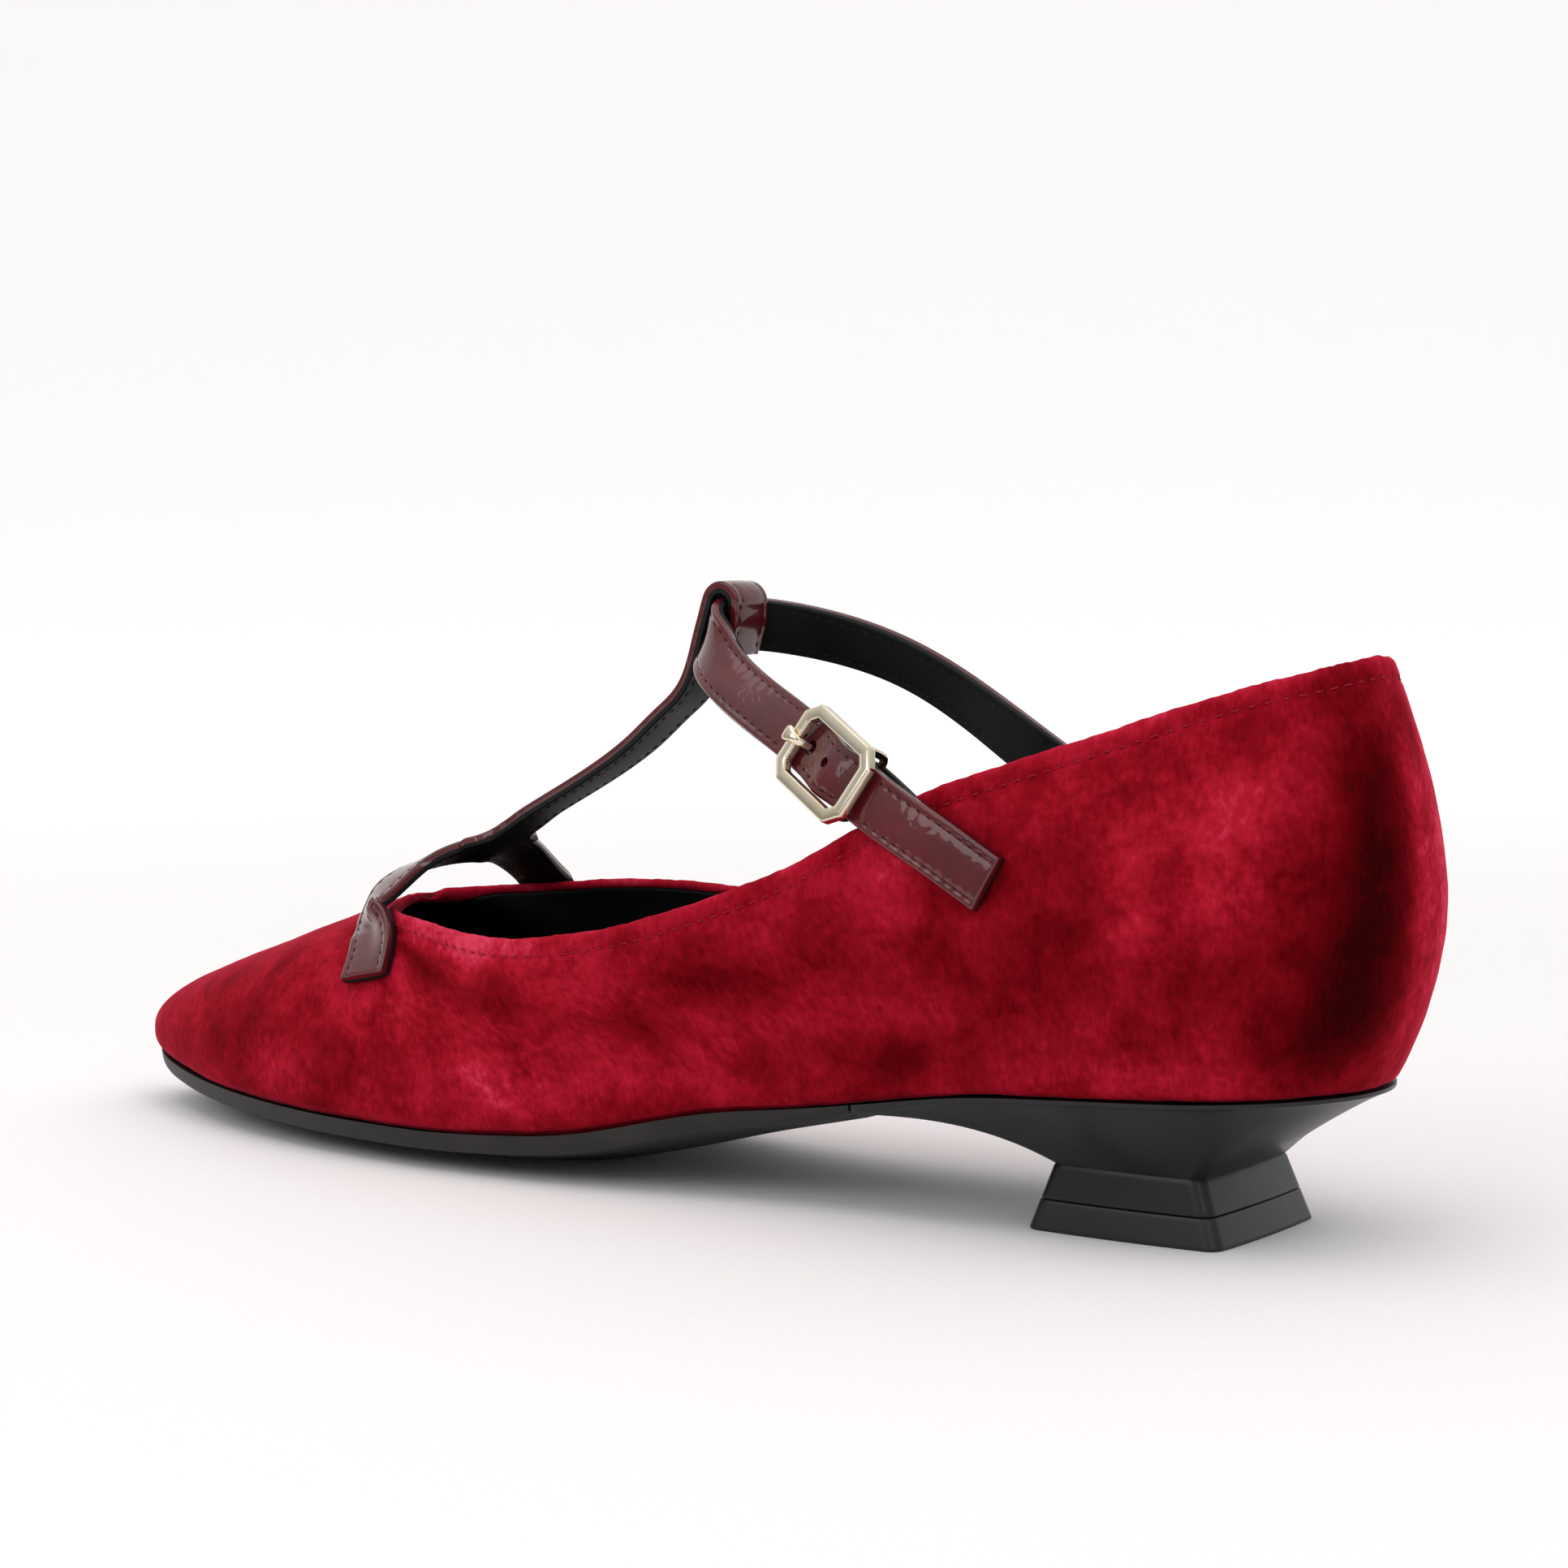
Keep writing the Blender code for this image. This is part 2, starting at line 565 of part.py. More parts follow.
def slab(first, last, inset, under_inset, top, under, steps, across):
    """Rings of a thin plate that follows the bottom of the last."""
    lateral, medial = plan_sections(first, last, inset, steps)
    low_lateral, low_medial = plan_sections(first, last, under_inset, steps)
    rings = []
    share = np.linspace(0.0, 1.0, across)[:, None]
    for k in range(steps):
        upper = medial[k] + share * (lateral[k] - medial[k])
        lower = low_lateral[k] + share * (low_medial[k] - low_lateral[k])
        upper[:, 2] = top(upper[:, 0], upper[:, 1])
        lower[:, 2] = under(lower[:, 0], lower[:, 1])
        rings.append(np.vstack([upper, lower]))
    return np.array(rings)


def sole_top(along, across):
    """Top of outsole and heel: the upper's underside less the fit gap."""
    return under_height(along, across) - FIT_GAP


def sole_under(along, across):
    """Tread of the outsole: never below the floor, so that the ball has a flat spot."""
    joint = SHANK_START * SHOE_LENGTH
    share = np.clip((joint - along) / (joint - HEEL_LIP_REACH), 0.0, 1.0)
    thick = SOLE_THICKNESS + (SHANK_THICKNESS - SOLE_THICKNESS) * share
    return np.maximum(sole_top(along, across) - thick, 0.0)


def insole_under(along, across):
    """Underside of the insole, on the lasting margin."""
    return under_height(along, across) + UPPER_WALL + FIT_GAP


def insole_top(along, across):
    """Tread of the insole."""
    return insole_under(along, across) + INSOLE_THICKNESS


def make_outsole(material):
    """Thin outsole from the toe to the lip of the heel."""
    rings = slab(0.0, row_of(HEEL_LIP_REACH + FIT_GAP), SOLE_INSET, SOLE_INSET + 0.5 * SOLE_THICKNESS,
                 sole_top, sole_under, 31, 10)
    return make_object("outsole", *loft(rings), material)


def make_insole(material):
    """Insole that fills the floor of the upper."""
    inset = FEATHER_RADIUS + 3.0 * FIT_GAP
    rings = slab(0.0, float(LAST_ROW), inset, inset, insole_top, insole_under, 41, 7)
    return make_object("insole", *loft(rings), material)


def rounded_box(length, width, start, corner, bow):
    """Ring of a heel section: back, outer side, front and inner side with round corners."""
    half_length = 0.5 * length
    half_width = 0.5 * width
    points = []
    corners = ((-1, 1, 180), (1, 1, 90), (1, -1, 0), (-1, -1, -90))
    for along, across, angle in corners:
        middle = np.array([along * (half_length - corner), across * (half_width - corner)])
        for turn in np.radians(np.linspace(angle, angle - 90, CORNER_POINTS)):
            points.append(middle + corner * np.array([math.cos(turn), math.sin(turn)]))
    points = np.array(points)
    ring = []
    for k in range(len(points)):
        a = points[k]
        b = points[(k + 1) % len(points)]
        ring.append(a)
        if k % CORNER_POINTS == CORNER_POINTS - 1:
            run = b - a
            out = unit(np.array([-run[1], run[0]]))
            for share in np.arange(1, SIDE_SPANS) / SIDE_SPANS:
                ring.append(a + share * run + out * bow * 4.0 * share * (1.0 - share))
    ring = np.array(ring)
    ring[:, 0] += start + half_length
    return np.column_stack([ring, np.zeros(len(ring))])


def seat_ring():
    """Ring of the heel's seat, in step with rounded_box: it follows the feather line."""
    front = row_of(HEEL_LIP_REACH)
    corner_back = row_of(SEAT_CORNER * SHOE_LENGTH)
    per_side = SIDE_SPANS
    inset = SOLE_INSET * 0.7
    ribs_corner = np.linspace(corner_back + 0.45, corner_back - 0.25, CORNER_POINTS)
    ribs_side = np.linspace(ribs_corner[-1], front + 0.12, per_side + 1)[1:-1]
    ribs_front = np.linspace(front + 0.12, front, CORNER_POINTS)
    outer = np.concatenate([ribs_corner, ribs_side, ribs_front])
    lateral = feather_at(outer, 1) + inset * plan_inward(feather_at, outer, 1)
    medial = feather_at(outer, -1) + inset * plan_inward(feather_at, outer, -1)
    lip = lateral[-1, 0]
    for ends in (lateral, medial):
        ends[-4:, 1] = ends[-4, 1] * (1.0 - np.array([0.0, 0.01, 0.035, 0.07]))
        ends[-4:, 0] = ends[-4, 0] + (lip - ends[-4, 0]) * np.array([0.0, 0.45, 0.8, 1.0])
    share = (np.arange(1, per_side) / per_side)[:, None]
    middle = lateral[-1] + share * (medial[-1] - lateral[-1])
    back_ribs = np.concatenate([np.linspace(corner_back + 0.45, LAST_ROW, per_side // 2 + 1)[1:],
                                np.linspace(LAST_ROW, corner_back + 0.45, per_side // 2 + 1)[1:-1]])
    sides = np.array([-1] * (per_side // 2) + [1] * (per_side // 2 - 1))
    back = []
    for rib, side in zip(back_ribs, sides):
        rib = np.array([rib])
        back.append((feather_at(rib, side) + inset * plan_inward(feather_at, rib, side))[0])
    return np.vstack([lateral, middle, medial[::-1], np.array(back)])


def heel_section(height):
    """Section of the flared foot of the heel at a height over the floor."""
    share = height / HEEL_WAIST_HEIGHT
    length = TOP_LIFT_LENGTH + (HEEL_WAIST_LENGTH - TOP_LIFT_LENGTH) * share
    width = TOP_LIFT_WIDTH + (HEEL_WAIST_WIDTH - TOP_LIFT_WIDTH) * share
    start = TOP_LIFT_SETBACK + HEEL_WAIST_SETBACK * share
    ring = rounded_box(length, width, start, HEEL_CORNER_RADIUS, HEEL_SIDE_BOW)
    ring[:, 2] = height
    return ring


def make_top_lift(material):
    """Wear piece under the heel."""
    heights = (0.0, TOP_LIFT_HEIGHT - FIT_GAP)
    return make_object("top_lift", *loft([heel_section(h) for h in heights]), material)


def make_heel(material):
    """Moulded heel: a flared foot, a waist, and a cup that spreads to the seat and forward lip."""
    low = [heel_section(h) for h in np.linspace(TOP_LIFT_HEIGHT, HEEL_WAIST_HEIGHT, 2)]
    waist = low[-1]
    seat = seat_ring()
    seat[:, 2] = sole_top(seat[:, 0], seat[:, 1])
    reach = np.clip((seat[:, 0] - LIP_START * SHOE_LENGTH) / (LIP_RUN * SHOE_LENGTH), 0.0, 1.0)
    rim = seat.copy()
    rim[:, 2] -= HEEL_RIM_THICKNESS + (HEEL_LIP_THICKNESS - HEEL_RIM_THICKNESS) * reach
    ahead = np.clip((seat[:, 0] - waist[:, 0].mean()) / (HEEL_LIP_REACH - waist[:, 0].mean()), 0.0, 1.0)
    power = HEEL_SPREAD + HEEL_SPREAD_AHEAD * ahead
    rings = list(low)
    for share in (0.10, 0.22, 0.36, 0.52, 0.68, 0.84, 1.0):
        ring = waist + (rim - waist) * share
        rise = 1.0 - (1.0 - share) ** power
        ring[:, 2] = waist[:, 2] + (rim[:, 2] - waist[:, 2]) * rise
        rings.append(ring)
    rings.append(seat)
    spine = seat.copy()
    spine[:, 1] = 0.0
    spine[:, 0] = np.clip(seat[:, 0], SPINE_START * SHOE_LENGTH, HEEL_LIP_REACH - SPINE_END * SHOE_LENGTH)
    for share in (0.45, 0.85):
        ring = seat + (spine - seat) * share
        ring[:, 2] = sole_top(ring[:, 0], ring[:, 1])
        rings.append(ring)
    points, faces = loft(rings, cap_end=False)
    columns = len(seat)
    last = (len(rings) - 1) * columns
    middle_front = 2 * CORNER_POINTS + SIDE_SPANS - 1 + SIDE_SPANS // 2 - 1
    for k in range(middle_front - columns // 2, middle_front):
        across = 2 * middle_front
        rung = [k % columns, (k + 1) % columns, (across - k - 1) % columns, (across - k) % columns]
        faces.append([last + index for index in dict.fromkeys(rung)])
    return make_object("heel", points, faces, material)


def ribbon(path, normals, width, thickness, rounding):
    """Rings of a flat strap along a path: a rectangle with its edges eased."""
    path = np.asarray(path, float)
    tangent = unit(np.gradient(path, axis=0))
    normals = unit(normals - (normals * tangent).sum(axis=1, keepdims=True) * tangent)
    side = np.cross(normals, tangent)
    half_width = 0.5 * width
    half_thick = 0.5 * thickness
    outline = [(half_width, half_thick - rounding), (half_width - rounding, half_thick),
               (rounding - half_width, half_thick), (-half_width, half_thick - rounding),
               (-half_width, rounding - half_thick), (rounding - half_width, -half_thick),
               (half_width - rounding, -half_thick), (half_width, rounding - half_thick)]
    rings = [path + a * side + b * normals for a, b in outline]
    return np.stack(rings, axis=1)


def resample(points, normals, count):
    """Points along a smooth curve through the given ones, closer together where it bends."""
    table = np.hstack([points, normals])
    dense = spline_open(table, np.linspace(0.0, len(table) - 1, 40 * len(table)), knot_gaps(table))
    steps = np.diff(dense[:, :3], axis=0)
    turns = np.linalg.norm(np.diff(unit(steps), axis=0, append=unit(steps)[-1:]), axis=1)
    run = np.concatenate([[0.0], np.cumsum(np.linalg.norm(steps, axis=1) + BEND_DENSITY * turns)])
    even = np.linspace(0.0, run[-1], count)
    out = np.column_stack([np.interp(even, run, dense[:, k]) for k in range(6)])
    return out[:, :3], unit(out[:, 3:])


def on_wall(table, side, thickness, inside=False):
    """Middle line of a strap that lies on the upper's wall, and the way its face looks."""
    point, normal = wall_frame(table[:, 0], table[:, 1], side)
    lift = FIT_GAP + 0.5 * thickness + table[:, 2:3] * STRAP_THICKNESS
    if inside:
        return point - (UPPER_WALL + lift) * normal, normal
    return point + lift * normal, normal


def instep_route():
    """Middle line of the instep strap, its faces, and the row where the air part starts."""
    size = np.array([INSTEP_ALONG, 0.5 * SEAT_WIDTH, INSTEP_HEIGHT])
    centre = np.array([INSTEP_ALONG, 0.0, INSTEP_HEIGHT])
    air = centre + INSTEP_ROUTE[:, :3] * size
    look = unit(INSTEP_ROUTE[:, 3:])
    anchor, anchor_look = on_wall(ANCHOR_IN_WALL, -1, STRAP_THICKNESS, inside=True)
    tail, tail_look = on_wall(TAIL_ON_WALL, 1, STRAP_THICKNESS)
    points = np.vstack([anchor[::-1], air, tail])
    return points, np.vstack([anchor_look[::-1], look, tail_look]), len(anchor)


def buckle_frame():
    """Centre of the buckle on the strap, the way to the tail, the way out and the side."""
    points, looks, start = instep_route()
    at = start + BUCKLE_ROW
    table = np.hstack([points, looks])
    behind, here, ahead = spline_open(table, [at - 0.4, at, at + 0.4], knot_gaps(table))
    toward = unit(ahead[:3] - behind[:3])
    out = unit(here[3:] - here[3:].dot(toward) * toward)
    return here[:3], toward, out, np.cross(out, toward)


def in_buckle(local):
    """Turn buckle coordinates (toward the tail, to the side, out) into the last frame."""
    centre, toward, out, side = buckle_frame()
    local = np.atleast_2d(local)
    return centre + local[:, :1] * toward + local[:, 1:2] * side + local[:, 2:3] * out


BAR_CENTRE = 0.5 * (BUCKLE_LENGTH - BUCKLE_BAR)
FRAME_LOW = 0.5 * STRAP_THICKNESS + 2.0 * FIT_GAP
HINGE_DEPTH = -(0.5 * STRAP_THICKNESS + 2.5 * FIT_GAP + BUCKLE_STRAP_THICKNESS + 0.5 * HINGE_BAR_DIAMETER)
HINGE_PLACE = 0.5 * BAR_CENTRE
HOLE_PLACE = -(BAR_CENTRE - 0.5 * BUCKLE_BAR - 0.5 * HOLE_DIAMETER)
PRONG_UNDER = -(0.5 * STRAP_THICKNESS + FIT_GAP + 0.5 * PRONG_DIAMETER)
PRONG_OVER = FRAME_LOW + BUCKLE_THICKNESS + FIT_GAP + 0.5 * PRONG_DIAMETER


def make_instep_strap(material):
    """Instep strap: from inside the inner wall, over the instep, under the buckle to its tail."""
    points, looks, _ = instep_route()
    path, faces_out = resample(points, looks, STRAP_RINGS)
    rings = ribbon(path, faces_out, STRAP_WIDTH, STRAP_THICKNESS, STRAP_EDGE_ROUND)
    strap = make_object("instep_strap", *loft(rings), material)
    deep = 3.0 * STRAP_THICKNESS
    for k in range(HOLE_COUNT):
        place = HOLE_PLACE + (k - 1) * HOLE_PITCH
        hole = tube_rings(in_buckle([(place, 0.0, level) for level in (-deep, 0.0, deep)]), HOLE_DIAMETER, 10)
        boolean(strap, make_object("hole", *loft(hole), material), "DIFFERENCE")
    return strap


def loop_route():
    """Middle line of the T-bar's loop round the instep strap, from its free end to the front foot."""
    centre = np.array([INSTEP_ALONG, 0.0, INSTEP_HEIGHT])
    out = np.array([math.cos(LOOP_TILT), 0.0, math.sin(LOOP_TILT)])
    rise = np.array([-math.sin(LOOP_TILT), 0.0, math.cos(LOOP_TILT)])
    ply = STRAP_THICKNESS + 2.0 * FIT_GAP
    half = 0.5 * STRAP_WIDTH
    points = [centre - (ply + 2.0 * FIT_GAP) * out + h * half * rise for h in (-0.95, -0.3, 0.35)]
    normals = [-out] * 3
    bend = centre + (half - 0.5 * STRAP_THICKNESS) * rise
    for angle in np.radians(np.arange(180.0, -1.0, -22.5)):
        way = math.cos(angle) * out + math.sin(angle) * rise
        points.append(bend + ply * way)
        normals.append(way)
    points += [centre + ply * out + h * half * rise for h in (0.0, -0.7)]
    normals += [out] * 2
    return np.array(points), np.array(normals)


def make_t_bar(material):
    """T-bar: a loop and stem that fork into two arms, which lie on the vamp's outside."""
    points, looks = loop_route()
    foot = points[-1]
    fork = np.array([FORK_ALONG, FORK_ACROSS, FORK_HEIGHT])
    stem = np.column_stack([foot[0] + STEM_ROUTE[:, 0] * (fork[0] - foot[0]),
                            STEM_ROUTE[:, 1] * 0.5 * BALL_WIDTH,
                            foot[2] + STEM_ROUTE[:, 2] * (fork[2] - foot[2])])
    slope = unit(np.gradient(np.vstack([stem, fork]), axis=0))
    stem_look = np.column_stack([-slope[:, 2], np.zeros(len(slope)), slope[:, 0]])
    ahead = fork + unit(fork - stem[-1]) * 0.9 * STRAP_WIDTH
    all_points = np.vstack([points, stem, fork, ahead])
    all_looks = np.vstack([looks, stem_look, stem_look[-1]])
    path, faces_out = resample(all_points, all_looks, STRAP_RINGS)
    bar = make_object("t_bar", *loft(ribbon(path, faces_out, STRAP_WIDTH, STRAP_THICKNESS, STRAP_EDGE_ROUND)),
                      material)
    for side, table in ((1, OUTER_ARM_ON_WALL), (-1, INNER_ARM_ON_WALL)):
        lying, looks = on_wall(table, side, STRAP_THICKNESS)
        bridge = fork + (lying[0] - fork) * np.array([[0.55, 0.42, 0.20], [0.92, 0.80, 0.62]])
        root = stem[-1] + 0.2 * (fork - stem[-1])
        bridge_look = np.array([(0.50, 0.18 * side, 0.85), (0.35, 0.50 * side, 0.80)])
        arm = np.vstack([root, fork * 0.5 + 0.5 * bridge[0], bridge[1], lying])
        arm_look = np.vstack([stem_look[-2], bridge_look, looks])
        path, faces_out = resample(arm, unit(arm_look), ARM_RINGS)
        tool = make_object("arm", *loft(ribbon(path, faces_out, STRAP_WIDTH, STRAP_THICKNESS,
                                               STRAP_EDGE_ROUND)), material)
        boolean(bar, tool, "UNION")
    return bar


def tube_rings(path, diameter, sides):
    """Rings of a round bar along a path."""
    path = np.asarray(path, float)
    tangent = unit(np.gradient(path, axis=0))
    guide = np.array([0.31, 0.17, 0.93])
    first = unit(np.cross(tangent, guide))
    second = np.cross(tangent, first)
    turn = 2.0 * math.pi * np.arange(sides) / sides
    spokes = np.cos(turn)[None, :, None] * first[:, None] + np.sin(turn)[None, :, None] * second[:, None]
    return path[:, None] + 0.5 * diameter * spokes


def octagon(length, width, chamfer):
    """Corners of a rectangle with cut corners, as (toward the tail, to the side)."""
    a = 0.5 * length
    b = 0.5 * width
    return [(a, b - chamfer), (a - chamfer, b), (chamfer - a, b), (-a, b - chamfer),
            (-a, chamfer - b), (chamfer - a, -b), (a - chamfer, -b), (a, chamfer - b)]


def make_buckle_frame(material):
    """Buckle frame with cut corners, and a hinge bar on two lugs under its tail side."""
    outer = octagon(BUCKLE_LENGTH, BUCKLE_WIDTH, BUCKLE_CHAMFER)
    inner = octagon(BUCKLE_LENGTH - 2 * BUCKLE_BAR, BUCKLE_WIDTH - 2 * BUCKLE_BAR, 0.4 * BUCKLE_CHAMFER)
    ease = 0.12 * BUCKLE_BAR
    low = FRAME_LOW
    high = FRAME_LOW + BUCKLE_THICKNESS
    eased_outer = octagon(BUCKLE_LENGTH - 2 * ease, BUCKLE_WIDTH - 2 * ease, BUCKLE_CHAMFER)
    eased_inner = octagon(BUCKLE_LENGTH - 2 * BUCKLE_BAR + 2 * ease,
                          BUCKLE_WIDTH - 2 * BUCKLE_BAR + 2 * ease, 0.4 * BUCKLE_CHAMFER)
    rings = []
    levels = ((outer, low), (outer, high - ease), (eased_outer, high), (eased_inner, high),
              (inner, high - ease), (inner, low))
    for ring, level in levels:
        rings.append(in_buckle([(a, b, level) for a, b in ring]))
    points = np.array(rings).transpose(1, 0, 2)
    closed = np.concatenate([points, points[:1]])
    frame = make_object("buckle_frame", *loft(closed, False, False), material)
    span = 0.5 * STRAP_WIDTH + 2.0 * FIT_GAP + 0.5 * HINGE_BAR_DIAMETER
    sink = FRAME_LOW + 0.5 * BUCKLE_THICKNESS
    bar = [(HINGE_PLACE, -span, sink), (HINGE_PLACE, -span, HINGE_DEPTH),
           (HINGE_PLACE, span, HINGE_DEPTH), (HINGE_PLACE, span, sink)]
    rounds = tube_rings(in_buckle(bar), HINGE_BAR_DIAMETER, 10)
    boolean(frame, make_object("bar", *loft(rounds), material), "UNION")
    return frame


def make_buckle_prong(material):
    """Prong: an eye round the hinge bar, a shank under the strap and a tip on the far bar."""
    eye = 0.5 * HINGE_BAR_DIAMETER + FIT_GAP + 0.5 * PRONG_DIAMETER
    turn = np.radians(np.arange(20.0, -231.0, -25.0))
    path = [(HINGE_PLACE + eye * math.cos(a), 0.0, HINGE_DEPTH + eye * math.sin(a)) for a in turn]
    start = path[-1]
    path += [(start[0] - 0.35 * (start[0] - HOLE_PLACE), 0.0, PRONG_UNDER),
             (HOLE_PLACE + 0.9 * PRONG_DIAMETER, 0.0, PRONG_UNDER),
             (HOLE_PLACE + 0.35 * PRONG_DIAMETER, 0.0, 0.5 * PRONG_UNDER),
             (HOLE_PLACE - 0.1 * PRONG_DIAMETER, 0.0, FRAME_LOW),
             (HOLE_PLACE - 0.6 * PRONG_DIAMETER, 0.0, 0.85 * PRONG_OVER),
             (HOLE_PLACE - 1.6 * PRONG_DIAMETER, 0.0, PRONG_OVER),
             (-0.5 * BUCKLE_LENGTH - 0.3 * PRONG_DIAMETER, 0.0, PRONG_OVER)]
    points = in_buckle(path)
    path, _ = resample(points, np.tile((0.0, 0.0, 1.0), (len(points), 1)), PRONG_RINGS)
    return make_object("buckle_prong", *loft(tube_rings(path, PRONG_DIAMETER, 8)), material)


def slotted_ribbon(path, normals, width, thickness, slot, slot_rings):
    """Points and faces of a flat strap whose first rings are parted by a slot down the middle."""
    tangent = unit(np.gradient(path, axis=0))
    normals = unit(normals - (normals * tangent).sum(axis=1, keepdims=True) * tangent)
    side = np.cross(normals, tangent)
    rows = [path + across * side + level * normals
            for level in (0.5 * thickness, -0.5 * thickness)
            for across in (-0.5 * width, -0.5 * slot, 0.5 * slot, 0.5 * width)]
    points = np.stack(rows, axis=1)
    faces = []
    for k in range(len(path) - 1):
        a = 8 * k
        b = 8 * (k + 1)
        parted = k < slot_rings
        for c in (0, 2) if parted else (0, 1, 2):
            faces.append([a + c, a + c + 1, b + c + 1, b + c])
            faces.append([a + c + 4, b + c + 4, b + c + 5, a + c + 5])
        for c in (0, 1, 2, 3) if parted else (0, 3):
            faces.append([a + c, b + c, b + c + 4, a + c + 4])
    last = 8 * (len(path) - 1)
    faces += [[c, c + 1, c + 5, c + 4] for c in (0, 2)]
    faces += [[last + c, last + c + 1, last + c + 5, last + c + 4] for c in (0, 1, 2)]
    mouth = 8 * slot_rings
    faces.append([mouth + 1, mouth + 2, mouth + 6, mouth + 5])
    return points.reshape(-1, 3), faces


def make_buckle_strap(material):
    """Short strap from inside the outer wall that holds the buckle's hinge bar in its fold."""
    radius = 0.5 * HINGE_BAR_DIAMETER + FIT_GAP + 0.5 * BUCKLE_STRAP_THICKNESS
    turn = np.radians(np.arange(60.0, 271.0, 30.0))
    fold = in_buckle([(HINGE_PLACE + radius * math.cos(a), 0.0, HINGE_DEPTH + radius * math.sin(a))
                      for a in turn])
    looks = fold - in_buckle([(HINGE_PLACE, 0.0, HINGE_DEPTH)])
    lying, wall_looks = on_wall(CHAPE_IN_WALL, 1, BUCKLE_STRAP_THICKNESS, inside=True)
    points = np.vstack([fold, lying])
    path, faces_out = resample(points, unit(np.vstack([looks, -wall_looks])), CHAPE_RINGS)
    slot = PRONG_DIAMETER + 2.5 * FIT_GAP
    eye = HINGE_BAR_DIAMETER + 2.0 * PRONG_DIAMETER
    gone = np.linalg.norm(path - in_buckle([(HINGE_PLACE, 0.0, HINGE_DEPTH)]), axis=1)
    slot_rings = int(np.argmax(gone > eye + FIT_GAP))
    return make_object("buckle_strap", *slotted_ribbon(path, faces_out, BUCKLE_STRAP_WIDTH,
                                                       BUCKLE_STRAP_THICKNESS, slot, slot_rings), material)


def centre_on_floor(items):
    """Move all pieces so that the middle of the shoe's box stands over the origin."""
    corners = np.array([v.co[:] for item in items for v in item.data.vertices])
    middle = 0.5 * (corners.min(axis=0) + corners.max(axis=0))
    for item in items:
        places = np.array([v.co[:] for v in item.data.vertices])
        places[:, :2] -= middle[:2]
        item.data.vertices.foreach_set("co", places.ravel())
        item.data.update()


velvet = plain_material("crimson velvet", (0.36, 0.006, 0.025), 0.75)
patent = plain_material("burgundy patent leather", (0.055, 0.006, 0.009), 0.12)
lining = plain_material("black kid leather", (0.008, 0.009, 0.010), 0.6)
rubber = plain_material("black rubber", (0.012, 0.012, 0.011), 0.55)
moulded = plain_material("matte black ABS", (0.010, 0.010, 0.010), 0.42)
gold = plain_material("pale gold plating", (0.69, 0.61, 0.46), 0.22, 1.0)

pieces = [
    make_upper(velvet),
    make_outsole(rubber),
    make_insole(lining),
    make_heel(moulded),
    make_top_lift(rubber),
    make_t_bar(patent),
    make_instep_strap(patent),
    make_buckle_strap(lining),
    make_buckle_frame(gold),
    make_buckle_prong(gold),
]
centre_on_floor(pieces)
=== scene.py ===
"""T-bar mary jane pump in crimson crushed velvet, left shoe, in a plain pale studio.

The shoe is worked out in its own last frame, in metres: "along" runs forward from the
back of the heel, "across" to the outer (lateral) side and "up" over the floor. The row
frame has the toe at -X, the outer side at -Y and +Z up.
"""
from __future__ import annotations

import logging
import math
from collections.abc import Callable
from dataclasses import Field, dataclass, field
from enum import Enum

import bmesh
import bpy
import numpy as np
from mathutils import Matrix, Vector


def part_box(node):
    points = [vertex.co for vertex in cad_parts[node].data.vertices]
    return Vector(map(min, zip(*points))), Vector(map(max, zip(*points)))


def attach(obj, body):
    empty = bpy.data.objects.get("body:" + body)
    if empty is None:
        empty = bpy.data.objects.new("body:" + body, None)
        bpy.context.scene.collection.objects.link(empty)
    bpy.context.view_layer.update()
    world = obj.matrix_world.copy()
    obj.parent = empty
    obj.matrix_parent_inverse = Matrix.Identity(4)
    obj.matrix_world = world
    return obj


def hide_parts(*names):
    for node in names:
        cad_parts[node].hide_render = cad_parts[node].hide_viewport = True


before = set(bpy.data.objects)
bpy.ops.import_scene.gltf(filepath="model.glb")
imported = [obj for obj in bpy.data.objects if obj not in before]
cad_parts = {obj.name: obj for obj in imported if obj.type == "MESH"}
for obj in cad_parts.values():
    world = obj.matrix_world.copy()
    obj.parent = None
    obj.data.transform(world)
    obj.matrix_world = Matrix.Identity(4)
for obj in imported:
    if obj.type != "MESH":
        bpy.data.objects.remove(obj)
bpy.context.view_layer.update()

log = logging.getLogger("pump")
MM = 0.001
UP = np.array([0.0, 0.0, 1.0])
TURN = np.array([-1.0, -1.0, 1.0])

